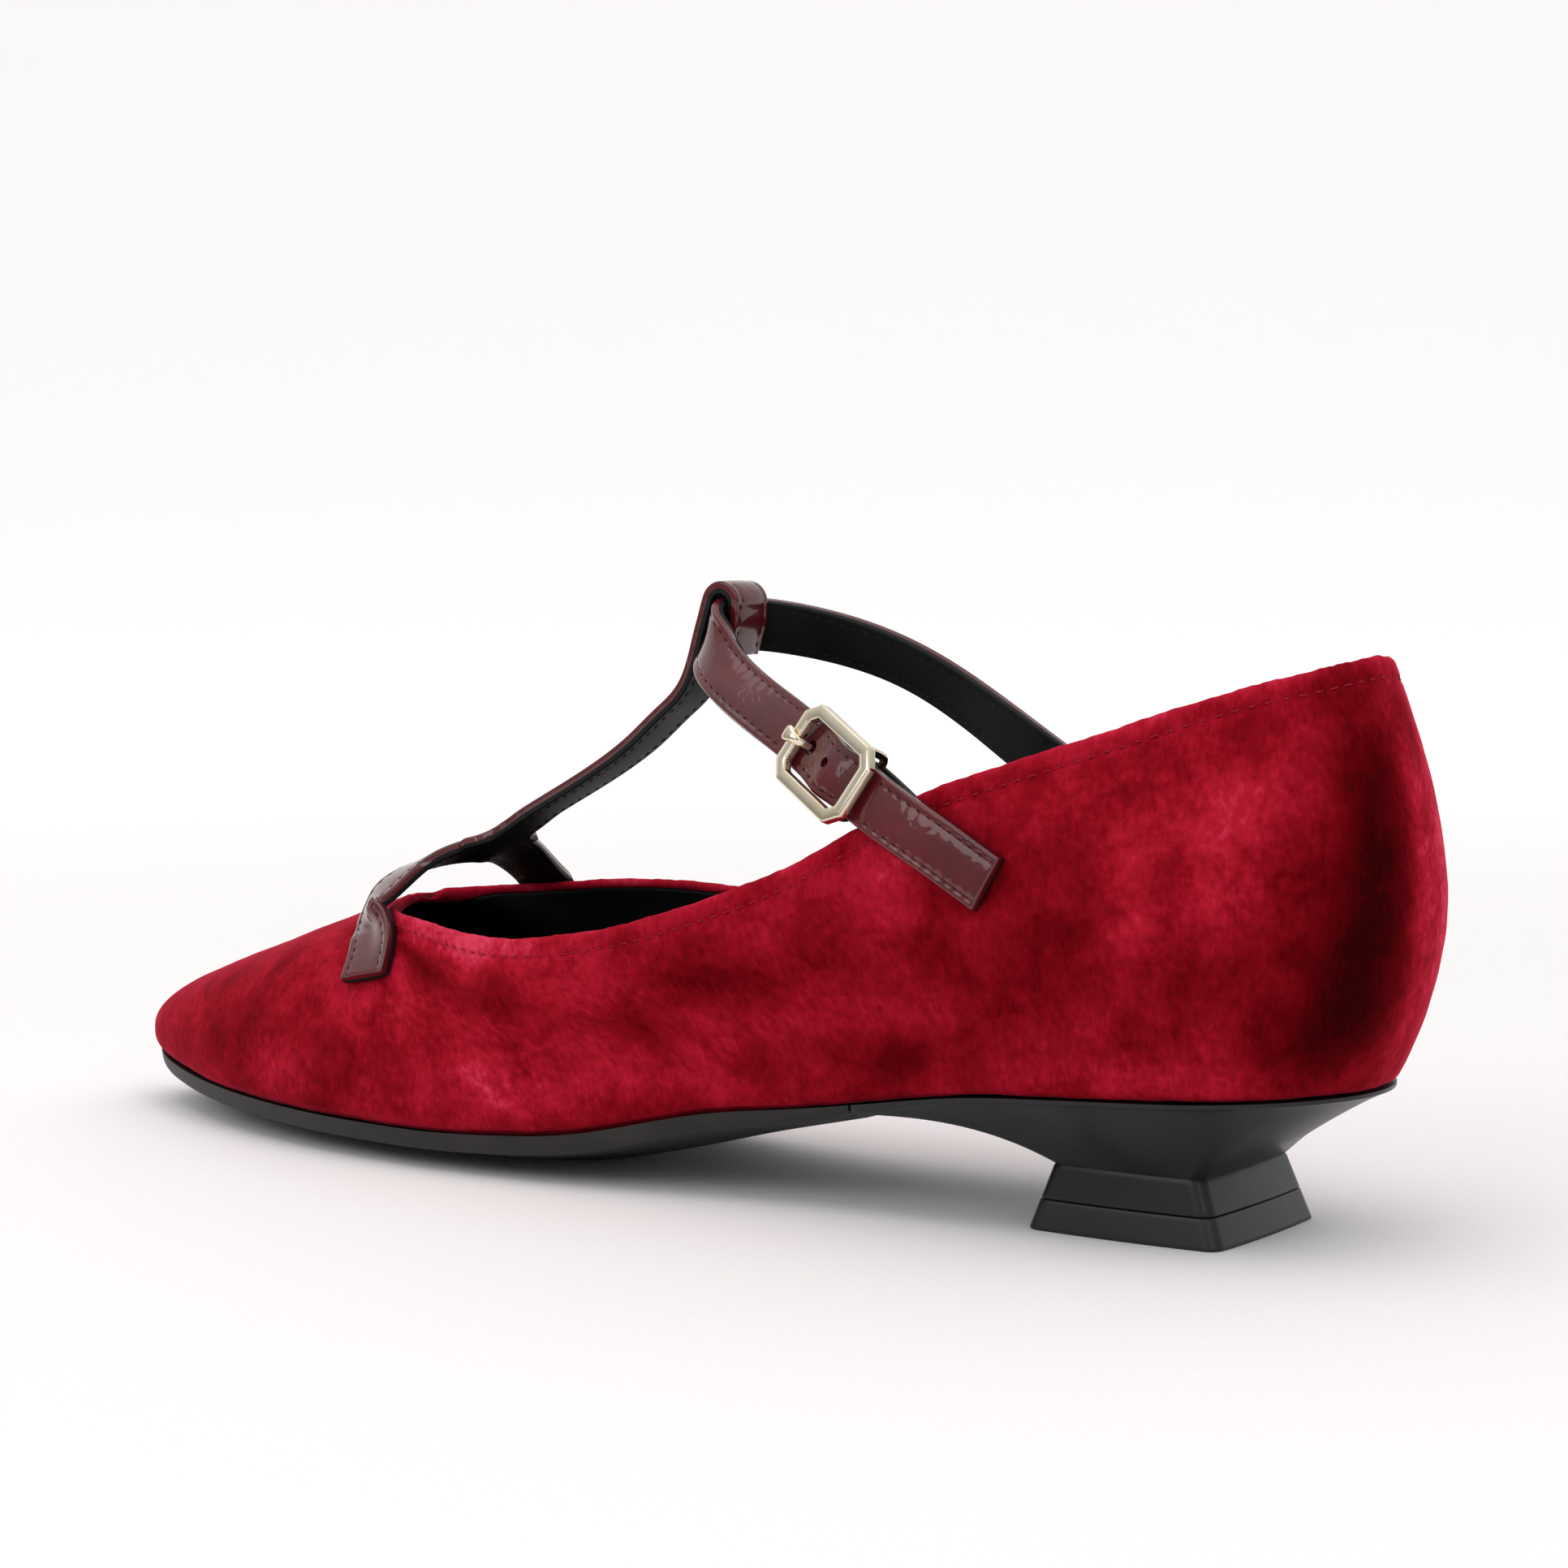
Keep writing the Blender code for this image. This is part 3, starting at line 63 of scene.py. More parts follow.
# Feather line, the seam of upper and sole, from the toe tip to the back of the heel
FEATHER = np.array([
    # along   ball  lateral medial  rise    lift   spring
    (1.0000, 1.00, -0.205, -0.205, 0.000, 0.000, 1.000),
    (0.9902, 1.00, -0.020, -0.384, 0.000, 0.050, 0.955),
    (0.9662, 1.00, 0.173, -0.545, 0.000, 0.165, 0.805),
    (0.9267, 1.00, 0.372, -0.710, 0.000, 0.395, 0.565),
    (0.8703, 1.00, 0.587, -0.865, 0.000, 0.675, 0.300),
    (0.8026, 1.00, 0.774, -0.980, 0.000, 0.840, 0.130),
    (0.7331, 1.00, 0.903, -1.038, 0.000, 0.930, 0.040),
    (0.6767, 1.00, 0.965, -1.041, 0.000, 1.000, 0.000),
    (0.6259, 1.00, 0.991, -1.006, 0.000, 1.030, 0.000),
    (0.5733, 0.95, 1.000, -0.955, 0.014, 1.140, 0.000),
    (0.5207, 0.80, 0.999, -0.898, 0.121, 0.910, 0.000),
    (0.4699, 0.60, 0.984, -0.847, 0.260, 0.880, 0.000),
    (0.4211, 0.35, 0.982, -0.830, 0.409, 0.770, 0.000),
    (0.3684, 0.15, 0.976, -0.842, 0.549, 0.465, 0.000),
    (0.3120, 0.00, 0.991, -0.888, 0.698, 0.210, 0.000),
    (0.2538, 0.00, 0.998, -0.936, 0.831, 0.090, 0.000),
    (0.1992, 0.00, 1.013, -0.980, 0.901, 0.023, 0.000),
    (0.1485, 0.00, 1.006, -0.998, 0.939, 0.000, 0.000),
    (0.1015, 0.00, 0.962, -0.962, 0.967, 0.000, 0.000),
    (0.0613, 0.00, 0.774, -0.774, 0.990, 0.000, 0.000),
    (0.0338, 0.00, 0.429, -0.429, 1.000, 0.000, 0.000),
    (0.0237, 0.00, 0.000, 0.000, 1.000, 0.000, 0.000),
])

# Ridge of the vamp, from the toe to the front of the throat
RIDGE = np.array([
    # along   across   up
    (0.9758, -0.205, 0.500),
    (0.9700, -0.205, 0.519),
    (0.9512, -0.202, 0.570),
    (0.9154, -0.194, 0.650),
    (0.8647, -0.173, 0.752),
    (0.8070, -0.144, 0.876),
    (0.7500, -0.117, 1.000),
])

# Topline, from the front of the throat round to the back of the collar
TOPLINE = np.array([
    # along   ball  lateral medial  vamp   up_lat up_med
    (0.7500, 1.00, -0.117, -0.117, 1.00, 1.000, 1.000),
    (0.7385, 1.00, 0.205, -0.399, 1.00, 0.990, 1.007),
    (0.7086, 1.00, 0.475, -0.633, 1.00, 0.979, 1.019),
    (0.6560, 1.00, 0.657, -0.757, 1.00, 0.963, 1.051),
    (0.5959, 0.95, 0.801, -0.804, 1.00, 0.942, 1.068),
    (0.5376, 0.80, 0.871, -0.825, 1.00, 0.974, 1.061),
    (0.4812, 0.60, 0.917, -0.832, 0.85, 0.896, 0.942),
    (0.4211, 0.35, 0.945, -0.852, 0.60, 0.807, 0.828),
    (0.3571, 0.15, 0.955, -0.872, 0.30, 0.747, 0.752),
    (0.2895, 0.00, 0.947, -0.895, 0.00, 0.737, 0.737),
    (0.2256, 0.00, 0.903, -0.881, 0.00, 0.809, 0.809),
    (0.1617, 0.00, 0.857, -0.851, 0.00, 0.870, 0.870),
    (0.1071, 0.00, 0.756, -0.756, 0.00, 0.925, 0.925),
    (0.0639, 0.00, 0.628, -0.628, 0.00, 0.964, 0.964),
    (0.0400, 0.00, 0.374, -0.374, 0.00, 0.986, 0.986),
    (0.0300, 0.00, 0.000, 0.000, 0.00, 1.000, 1.000),
])

# Form of the wall at each rib of the feather line
RIB_FORM = np.array([
    # flare lean  low   high  fan
    (10.0, 62.0, 0.36, 0.40, 1.00),
    (10.0, 66.0, 0.36, 0.40, 1.00),
    (9.0, 74.0, 0.37, 0.42, 1.00),
    (9.0, 82.0, 0.38, 0.44, 1.00),
    (8.0, 87.0, 0.39, 0.46, 1.00),
    (8.0, 89.0, 0.40, 0.46, 1.00),
    (7.0, 87.0, 0.40, 0.44, 1.00),
    (6.0, 68.0, 0.39, 0.40, 0.95),
    (5.0, 52.0, 0.37, 0.36, 0.85),
    (4.0, 38.0, 0.35, 0.34, 0.60),
    (4.0, 26.0, 0.34, 0.33, 0.30),
    (5.0, 18.0, 0.33, 0.33, 0.10),
    (6.0, 13.0, 0.33, 0.33, 0.00),
    (8.0, 10.0, 0.33, 0.33, 0.00),
    (10.0, 10.0, 0.34, 0.34, 0.00),
    (12.0, 12.0, 0.34, 0.34, 0.00),
    (14.0, 14.0, 0.35, 0.34, 0.00),
    (16.0, 16.0, 0.36, 0.35, 0.00),
    (21.0, 18.0, 0.38, 0.36, 0.00),
    (25.0, 20.0, 0.40, 0.36, 0.00),
    (27.0, 20.0, 0.41, 0.36, 0.00),
    (27.0, 20.0, 0.41, 0.36, 0.00),
])
LAST_ROW = len(FEATHER) - 1
THROAT_ROW = len(RIDGE) - 1

# Instep strap in the air: offsets from the loop, and the way that its face looks
INSTEP_ROUTE = np.array([
    # along   across   up     fore   out    rise
    (-0.378, -0.735, -0.230, 0.00, -0.98, 0.20),
    (-0.280, -0.770, -0.149, 0.00, -0.94, 0.34),
    (-0.194, -0.730, -0.083, 0.10, -0.88, 0.46),
    (-0.110, -0.590, -0.036, 0.35, -0.80, 0.49),
    (-0.036, -0.330, -0.008, 0.75, -0.50, 0.43),
    (-0.001, -0.170, -0.001, 0.94, -0.12, 0.31),
    (0.000, 0.000, 0.000, 0.95, 0.00, 0.31),
    (-0.003, 0.170, -0.008, 0.93, 0.15, 0.33),
    (-0.018, 0.290, -0.037, 0.62, 0.55, 0.55),
    (-0.051, 0.420, -0.076, 0.25, 0.72, 0.65),
    (-0.124, 0.570, -0.130, 0.10, 0.76, 0.64),
    (-0.212, 0.717, -0.183, 0.10, 0.87, 0.46),
    (-0.294, 0.880, -0.236, 0.15, 0.93, 0.30),
    (-0.376, 1.005, -0.295, 0.06, 0.97, 0.22),
])
BUCKLE_ROW = 12.0
BUCKLE_LENGTH = 0.0196
BUCKLE_BAR = 0.0022
PRONG_HOLE = 0.0025
# Middle of the prong's hole from the buckle's centre, positive toward the tail
HOLE_AT = -(0.5 * (BUCKLE_LENGTH - BUCKLE_BAR) - 0.5 * BUCKLE_BAR - 0.5 * PRONG_HOLE)

# Where straps lie on the wall: rib, share of the height, clearance as a share of the strap
TAIL_ON_WALL = np.array([(15.35, 0.82, 0.24), (15.65, 0.72, 0.14), (15.97, 0.625, 0.14)])
ANCHOR_IN_WALL = np.array([(15.55, 0.86, 0.10), (15.85, 0.74, 0.10), (16.05, 0.64, 0.10)])
OUTER_ARM_ON_WALL = np.array([(7.50, 0.90, 1.10), (7.30, 0.79, 1.00), (7.08, 0.65, 0.60),
                              (6.92, 0.50, 0.30)])
INNER_ARM_ON_WALL = np.array([(8.10, 0.93, 0.62), (7.90, 0.82, 0.36), (7.60, 0.69, 0.24),
                              (7.25, 0.54, 0.19)])
CHAPE_IN_WALL = np.array([(15.10, 0.88, 0.10), (15.30, 0.76, 0.10), (15.45, 0.66, 0.10)])

# Two knots of each arm between fork and wall: shares of the way, then the look for "across" +1
BRIDGE_SHARES = np.array([(0.50, 0.42, 0.16), (0.92, 0.80, 0.62)])
BRIDGE_LOOKS = np.array([(0.46, 0.20, 0.86), (0.32, 0.52, 0.79)])
FORK_LOOK = np.array([0.50, 0.0, 0.86])

# T-bar between the loop and the fork
STEM_ROUTE = np.array([
    # along   across   up
    (0.060, 0.000, 0.210),
    (0.170, -0.005, 0.345),
    (0.300, -0.012, 0.480),
    (0.500, -0.024, 0.640),
    (0.730, -0.040, 0.795),
    (0.900, -0.056, 0.915),
])

# Painted sheen and shade of the crushed pile: places where the pile lies over and the velvet's colour
# is painted darker or lighter, in millimetres: round the wall from the back of the heel, up, half
# sizes, tilt in degrees
OUTER_PILE_SHEEN_SHADE = np.array([
    # round  up   run   rise  tilt   tone
    (13, 62, 7, 22, 8, -1.7),
    (16, 42, 11, 14, 10, -1.2),
    (24, 34, 9, 6, -15, -0.9),
    # painted highlight: the pile's sheen along the back of the heel
    (0, 58, 4, 30, 0, 1.4),
    (44, 66, 15, 8, -15, 0.45),
    (53, 50, 12, 8, 25, 0.3),
    (35, 58, 5, 13, 10, 0.5),
    (38, 43, 11, 4, -28, -0.9),
    (66, 46, 9, 9, 20, -0.9),
    (82, 42, 12, 4, 0, -0.6),
    (99, 27, 9, 4, -10, -1.1),
    (113, 27, 5, 3, 0, -0.5),
    (128, 37, 8, 4, 0, -0.6),
    (143, 27, 5, 4, 0, -0.8),
    (163, 30, 8, 5, 10, -0.4),
    (192, 22, 9, 6, 0, -0.5),
    (186, 33, 6, 4, 0, -0.8),
    (200, 24, 24, 12, 0, 0.55),
    (175, 38, 14, 3, 5, 1.2),
    (155, 39, 14, 2.5, 0, 0.8),
    (150, 20, 16, 4, 0, 0.5),
    (178, 16, 12, 4.5, 0, 1.0),
    (42, 27, 18, 3, 0, 0.4),
    (92, 57, 9, 3, -25, 0.8),
    (152, 33, 8, 4, 0, 0.4),
    (214, 20, 10, 6, 15, -0.6),
    (232, 15, 8, 5, -10, 0.6),
    (246, 17, 6, 4, 0, -0.6),
    (222, 31, 8, 4, 20, 0.6),
])
INNER_PILE_SHEEN_SHADE = np.array([
    # round  up   run   rise  tilt   tone
    # painted highlight: the pile's sheen along the back of the heel
    (7, 56, 6, 32, 0, 1.5),
    (24, 60, 8, 21, -5, -1.4),
    (30, 40, 9, 7, 15, -0.9),
    (45, 62, 12, 8, 10, 0.6),
    (58, 44, 9, 8, -20, -0.7),
    (75, 52, 10, 6, 0, 0.5),
    (92, 34, 11, 5, 0, -0.9),
    (110, 44, 12, 4, 10, 0.7),
    (128, 30, 9, 5, -15, -0.8),
    (150, 36, 12, 5, 0, 0.5),
    (168, 24, 10, 5, 10, -0.9),
    (185, 34, 9, 4, 0, 0.8),
    (203, 22, 9, 6, -10, -0.7),
    (222, 28, 8, 5, 0, 0.5),
    (240, 14, 7, 4, 0, -0.6),
])

# Soft troughs and ridges of the wall, in millimetres, on both sides of the shoe
FOLDS = np.array([
    # round  up   run   rise  tilt  height
    (92, 46, 26, 3.5, -18, -0.20),
    (108, 36, 24, 4.0, -8, 0.16),
    (70, 38, 20, 5.0, 25, -0.16),
    (150, 30, 16, 4.0, 12, -0.16),
    (172, 26, 15, 4.5, -14, 0.18),
    (30, 40, 9, 10.0, 0, -0.22),
    (206, 24, 12, 5.0, 30, -0.14),
])

# Distances of the upper wall's last rows from the topline
TOP_GAPS = np.array([4.6, 4.2, 3.95, 3.7, 3.5, 3.3, 3.05, 2.8, 2.2, 1.8, 1.5, 1.25, 1.0, 0.75, 0.5,
                     0.3, 0.15, 0.05, 0.0]) * MM


class Side(Enum):
    """Side of the foot, as the sign of "across"."""

    LATERAL = 1
    MEDIAL = -1


class Slot(Enum):
    """Material slots of the record."""

    VELVET = "velvet"
    PATENT = "patent"
    LINING = "lining"
    RUBBER = "rubber"
    HEEL = "heel_plastic"
    GOLD = "gold"


def spline_open(rows: np.ndarray, at: np.ndarray, gaps: np.ndarray | None = None) -> np.ndarray:
    """Natural cubic curve through rows: solve for second derivatives, then read the cubics.

    Args:
        rows: knots, one in each row.
        at: fractional row numbers to read.
        gaps: knot spacings, all one unless given.
    Returns:
        One row for each number in at.
    """
    rows = np.asarray(rows, float)
    count = len(rows)
    gaps = np.ones(count - 1) if gaps is None else gaps
    system = np.zeros((count, count))
    right = np.zeros_like(rows)
    system[0, 0] = 1.0
    system[-1, -1] = 1.0
    slopes = np.diff(rows, axis=0) / gaps[:, None]
    for k in range(1, count - 1):
        system[k, k - 1:k + 2] = (gaps[k - 1], 2.0 * (gaps[k - 1] + gaps[k]), gaps[k])
        right[k] = 6.0 * (slopes[k] - slopes[k - 1])
    return read_cubic(rows, np.linalg.solve(system, right), at, gaps)


def spline_closed(rows: np.ndarray, at: np.ndarray) -> np.ndarray:
    """Cubic curve through a closed loop of rows, read at fractional row numbers.

    Args:
        rows: knots of the loop.
        at: fractional row numbers, taken modulo the count.
    Returns:
        One row for each number in at.
    """
    rows = np.asarray(rows, float)
    count = len(rows)
    system = 4.0 * np.eye(count) + np.roll(np.eye(count), 1, 0) + np.roll(np.eye(count), -1, 0)
    right = 6.0 * (np.roll(rows, 1, 0) - 2.0 * rows + np.roll(rows, -1, 0))
    bends = np.linalg.solve(system, right)
    wrapped = np.vstack([rows, rows[:1]])
    return read_cubic(wrapped, np.vstack([bends, bends[:1]]), np.mod(at, count), np.ones(count))


def read_cubic(rows: np.ndarray, bends: np.ndarray, at: np.ndarray, gaps: np.ndarray) -> np.ndarray:
    """Line between two knots plus an arch from their second derivatives.

    Args:
        rows: knots.
        bends: second derivatives at the knots.
        at: fractional row numbers.
        gaps: knot spacings.
    Returns:
        One row for each number in at.
    """
    at = np.atleast_1d(np.asarray(at, float))
    low = np.clip(np.floor(at).astype(int), 0, len(gaps) - 1)
    t = (at - low)[:, None]
    u = 1.0 - t
    line = u * rows[low] + t * rows[low + 1]
    arch = (u ** 3 - u) * bends[low] + (t ** 3 - t) * bends[low + 1]
    return line + arch * gaps[low][:, None] ** 2 / 6.0


def unit(vectors: np.ndarray) -> np.ndarray:
    """Scale vectors to length one."""
    return vectors / np.maximum(np.linalg.norm(vectors, axis=-1, keepdims=True), 1e-12)


def knot_gaps(points: np.ndarray) -> np.ndarray:
    """Knot spacings that grow with the square root of a path's steps."""
    return np.sqrt(np.linalg.norm(np.diff(points[:, :3], axis=0), axis=1))


def smooth(value: np.ndarray, low: float, high: float) -> np.ndarray:
    """Rise from 0 at low to 1 at high along 3t^2 - 2t^3."""
    t = np.clip((value - low) / (high - low), 0.0, 1.0)
    return t * t * (3.0 - 2.0 * t)


def eased(gap: np.ndarray, radius: float) -> np.ndarray:
    """Drop of a rounded edge: radius less the circle's height at this distance from the edge."""
    near = radius - np.clip(gap, 0.0, radius)
    return radius - np.sqrt(np.maximum(radius ** 2 - near ** 2, 0.0))


def distance_to(points: np.ndarray, line: np.ndarray) -> np.ndarray:
    """Distance of points from a polyline: the nearest knot, then its two segments.

    Args:
        points: places, (n, 3).
        line: knots of the polyline, close together.
    Returns:
        One distance for each point.
    """
    out = np.empty(len(points))
    for start in range(0, len(points), 4000):
        some = points[start:start + 4000]
        apart = ((some[:, None, :] - line[None]) ** 2).sum(axis=2)
        nearest = apart.argmin(axis=1)
        best = np.sqrt(apart[np.arange(len(some)), nearest])
        for step in (-1, 1):
            other = np.clip(nearest + step, 0, len(line) - 1)
            run = line[other] - line[nearest]
            share = ((some - line[nearest]) * run).sum(axis=1) / np.maximum((run ** 2).sum(axis=1), 1e-18)
            foot = line[nearest] + np.clip(share, 0.0, 1.0)[:, None] * run
            best = np.minimum(best, np.linalg.norm(some - foot, axis=1))
        out[start:start + 4000] = best
    return out


def patches(table: np.ndarray, around: np.ndarray, height: np.ndarray) -> np.ndarray:
    """Sum of soft tilted bumps: tone times exp(-(p/run)^2 - (q/rise)^2).

    Args:
        table: rows of place, size, tilt and tone in millimetres and degrees.
        around: distance round the wall in metres.
        height: height over the floor in metres.
    Returns:
        The sum, in the shape of the input.
    """
    total = np.zeros_like(around)
    for place, up, run, rise, tilt, tone in table:
        p = around / MM - place
        q = height / MM - up
        c, s = math.cos(math.radians(tilt)), math.sin(math.radians(tilt))
        total += tone * np.exp(-((p * c + q * s) / run) ** 2 - ((q * c - p * s) / rise) ** 2)
    return total


def grid_quads(rows: int, columns: int, wrap: bool = False) -> np.ndarray:
    """Quads of a grid numbered row by row, closed across the columns if wrap is set.

    Args:
        rows: rows of the grid.
        columns: places in each row.
        wrap: join the last column to the first.
    Returns:
        One row of four point numbers for each quad.
    """
    spans = columns if wrap else columns - 1
    r, c = np.meshgrid(np.arange(rows - 1), np.arange(spans), indexing="ij")
    a = r * columns + c
    b = r * columns + (c + 1) % columns
    return np.stack([a, b, b + columns, a + columns], axis=-1).reshape(-1, 4)


def ring_faces(rows: int, columns: int, start: bool = True, end: bool = True) -> list:
    """Faces of a skin over rings of points, with a cap over the first and the last ring if asked.

    Args:
        rows: rows of the grid.
        columns: places in each row.
        start: cap the first ring.
        end: cap the last ring.
    Returns:
        Arrays of faces.
    """
    index = np.arange(rows * columns).reshape(rows, columns)
    caps = [index[:1, ::-1]] * start + [index[-1:]] * end
    return [grid_quads(rows, columns, wrap=True), *caps]


def slab_faces(rows: int, columns: int) -> list:
    """Faces of a slab whose upper grid is numbered before its lower grid, joined by a rim.

    Args:
        rows: rows of the grid.
        columns: places in each row.
    Returns:
        Arrays of faces.
    """
    count = rows * columns
    quads = grid_quads(rows, columns)
    index = np.arange(count).reshape(rows, columns)
    loop = np.concatenate([index[0], index[1:, -1], index[-1, -2::-1], index[-2:0:-1, 0]])
    after = np.roll(loop, -1)
    rim = np.stack([loop, after, after + count, loop + count], axis=-1)
    return [quads, quads[:, ::-1] + count, rim[:, ::-1]]


def running(path: np.ndarray) -> np.ndarray:
    """Length from the start of a path at each of its points."""
    return np.concatenate([[0.0], np.cumsum(np.linalg.norm(np.diff(path, axis=0), axis=1))])


def read_along(at: np.ndarray, run: np.ndarray, rows: np.ndarray) -> np.ndarray:
    """Rows read in straight lines at given lengths along a path."""
    return np.column_stack([np.interp(at, run, column) for column in rows.T])


@dataclass(frozen=True)
class Last:
    """The last's own sizes in metres, and every curve and surface that follows it."""

    length: float = 0.266
    ball_width: float = 0.0682
    seat_width: float = 0.0545
    seat_height: float = 0.0245
    edge_lift: float = 0.0043
    toe_spring: float = 0.0078
    back_height: float = 0.0899
    vamp_height: float = 0.0428
    feather_radius: float = 0.0026
    margin: float = 0.0055
    wall: float = 0.0018
    sole: float = 0.0031
    gap: float = 0.0003
    flat_share: float = 0.20
    bowl_power: float = 1.15
    shift: tuple = (0.0, 0.0)

    def rows(self) -> np.ndarray:
        """Feather rows: along, lateral, medial, height at the edge and at the middle.

        Returns:
            One row for each row of the feather table.
        """
        half = 0.5 * (FEATHER[:, 1] * self.ball_width + (1.0 - FEATHER[:, 1]) * self.seat_width)
        base = self.sole - 0.3 * self.gap
        middle = base + FEATHER[:, 4] * (self.seat_height - base) + FEATHER[:, 6] * self.toe_spring
        edge = middle + FEATHER[:, 5] * self.edge_lift
        return np.column_stack([FEATHER[:, 0] * self.length, half * FEATHER[:, 2],
                                half * FEATHER[:, 3], edge, middle])

    def feather(self, rib: np.ndarray, side: np.ndarray, column: int = 3) -> np.ndarray:
        """Points of the feather line; column 4 gives the height at the middle instead.

        Args:
            rib: fractional rows of the feather line.
            side: 1 for the outer side or -1 for the inner.
            column: 3 for the height at the edge, 4 for the height at the middle.
        Returns:
            One place for each rib.
        """
        rows = self.rows()
        loop = np.vstack([rows[:, [0, 1, column]], rows[-2:0:-1][:, [0, 2, column]]])
        return spline_closed(loop, np.where(side > 0, rib, 2 * LAST_ROW - rib))

    def top(self, rib: np.ndarray, side: np.ndarray) -> np.ndarray:
        """Upper ends of the ribs: the vamp's ridge as far as the throat, then the topline.

        Args:
            rib: fractional rows of the feather line.
            side: 1 for the outer side or -1 for the inner.
        Returns:
            One place for each rib.
        """
        half = 0.5 * (TOPLINE[:, 1] * self.ball_width + (1.0 - TOPLINE[:, 1]) * self.seat_width)
        scale = TOPLINE[:, 4] * self.vamp_height + (1.0 - TOPLINE[:, 4]) * self.back_height
        along = TOPLINE[:, 0] * self.length
        outer = np.column_stack([along, half * TOPLINE[:, 2], scale * TOPLINE[:, 5]])
        inner = np.column_stack([along, half * TOPLINE[:, 3], scale * TOPLINE[:, 6]])
        span = LAST_ROW - THROAT_ROW
        at = np.maximum(rib - THROAT_ROW, 0.0)
        opening = spline_closed(np.vstack([outer, inner[-2:0:-1]]), np.where(side > 0, at, 2 * span - at))
        ridge = RIDGE * np.array([self.length, 0.5 * self.ball_width, self.vamp_height])
        return np.where(rib[:, None] <= THROAT_ROW, spline_open(ridge, np.minimum(rib, THROAT_ROW)), opening)

    def inward(self, curve: Callable, rib: np.ndarray, side: np.ndarray) -> np.ndarray:
        """Unit normals in plan that point into the shoe: the run of a curve turned a quarter.

        Args:
            curve: a curve of this class, by rib and side.
            rib: fractional rows of the feather line.
            side: 1 for the outer side or -1 for the inner.
        Returns:
            One normal for each rib.
        """
        step = 0.02
        run = curve(np.minimum(rib + step, LAST_ROW), side) - curve(np.maximum(rib - step, 0.0), side)
        zero = np.zeros(len(run))
        normal = np.column_stack([-run[:, 1], run[:, 0], zero]) * side[:, None]
        ends = (rib < step) | (rib > LAST_ROW - step)
        centre = np.column_stack([np.where(rib < step, -1.0, 1.0), zero, zero])
        return unit(np.where(ends[:, None], centre, normal))

    def under(self, along: np.ndarray, across: np.ndarray) -> np.ndarray:
        """Underside of the upper: a hollow across the middle that rises to the edge.

        Args:
            along: distance from the back of the heel.
            across: distance to the outer side.
        Returns:
            Heights over the floor.
        """
        dense = np.linspace(0.0, LAST_ROW, 12 * LAST_ROW + 1)
        ones = np.ones(len(dense))
        outer = self.feather(dense, ones)
        inner = self.feather(dense, -ones, 4)
        order = np.argsort(outer[:, 0])
        steps = outer[order, 0]
        lateral, edge = (np.interp(along, steps, outer[order, k]) for k in (1, 2))
        medial, middle = (np.interp(along, steps, inner[order, k]) for k in (1, 2))
        reach = np.abs(across - 0.5 * (lateral + medial)) / np.maximum(0.5 * (lateral - medial), 1e-4)
        bowl = np.clip((reach - self.flat_share) / (1.0 - self.flat_share), 0.0, 1.0) ** self.bowl_power
        return middle + (edge - middle) * bowl

    def ribs(self, rib: np.ndarray, side: np.ndarray) -> dict:
        """Everything that the wall needs at each rib: the arc's centre and the cubic's four points.

        Args:
            rib: fractional rows of the feather line.
            side: 1 for the outer side or -1 for the inner.
        Returns:
            Parts of the wall by name.
        """
        foot = self.feather(rib, side)
        top = self.top(rib, side)
        form = spline_open(RIB_FORM, rib)
        flare = np.radians(form[:, :1])
        lean = np.radians(form[:, 1:2])
        inward = self.inward(self.feather, rib, side)
        chord = unit((top - foot) * np.array([1.0, 1.0, 0.0]))
        square = np.where(rib[:, None] <= THROAT_ROW, chord, self.inward(self.top, rib, side))
        aim = unit(form[:, 4:5] * chord + (1.0 - form[:, 4:5]) * square)
        centre = foot + self.feather_radius * (inward + UP)
        start = centre - self.feather_radius * (np.cos(flare) * inward + np.sin(flare) * UP)
        reach = np.linalg.norm(top - start, axis=1, keepdims=True)
        first = start + form[:, 2:3] * reach * (np.cos(flare) * UP - np.sin(flare) * inward)
        second = top - form[:, 3:4] * reach * (np.cos(lean) * UP + np.sin(lean) * aim)
        return {"foot": foot, "inward": inward, "centre": centre, "flare": flare,
                "cubic": (start, first, second, top), "speed": 3.0 * form[:, 3:4] * reach}

    @staticmethod
    def on_wall(cubic: tuple, t: np.ndarray) -> np.ndarray:
        """Bezier cubic from the feather edge to the topline.

        Args:
            cubic: its four points.
            t: share of the way up.
        Returns:
            Places.
        """
        start, first, second, top = cubic
        return ((1 - t) ** 3 * start + 3 * (1 - t) ** 2 * t * first
                + 3 * (1 - t) * t ** 2 * second + t ** 3 * top)

    def on_arc(self, parts: dict, step: int, steps: int) -> np.ndarray:
        """Points of the feather edge's arc, from below its centre to the start of the wall."""
        angle = math.pi / 2 + (parts["flare"] - math.pi / 2) * step / steps
        return parts["centre"] - self.feather_radius * (np.cos(angle) * parts["inward"] + np.sin(angle) * UP)

    def wall_point(self, rib: np.ndarray, share: np.ndarray, side: float) -> np.ndarray:
        """Points of the outer wall at ribs and heights on one side."""
        sides = np.full(len(rib), float(side))
        return self.on_wall(self.ribs(rib, sides)["cubic"], share[:, None])

    def wall_frame(self, rib: np.ndarray, share: np.ndarray, side: float) -> tuple:
        """Points and outward normals of the outer wall, the normal over a strap's width.

        Args:
            rib: fractional rows of the feather line.
            share: shares of the wall's height.
            side: 1 for the outer side or -1 for the inner.
        Returns:
            Points and normals.
        """
        reach, step = 0.25, 0.01
        point = self.wall_point(rib, share, side)
        along = self.wall_point(rib + reach, share, side) - self.wall_point(rib - reach, share, side)
        down = self.wall_point(rib, share - step, side) - self.wall_point(rib, share + step, side)
        return point, unit(np.cross(down, along)) * side

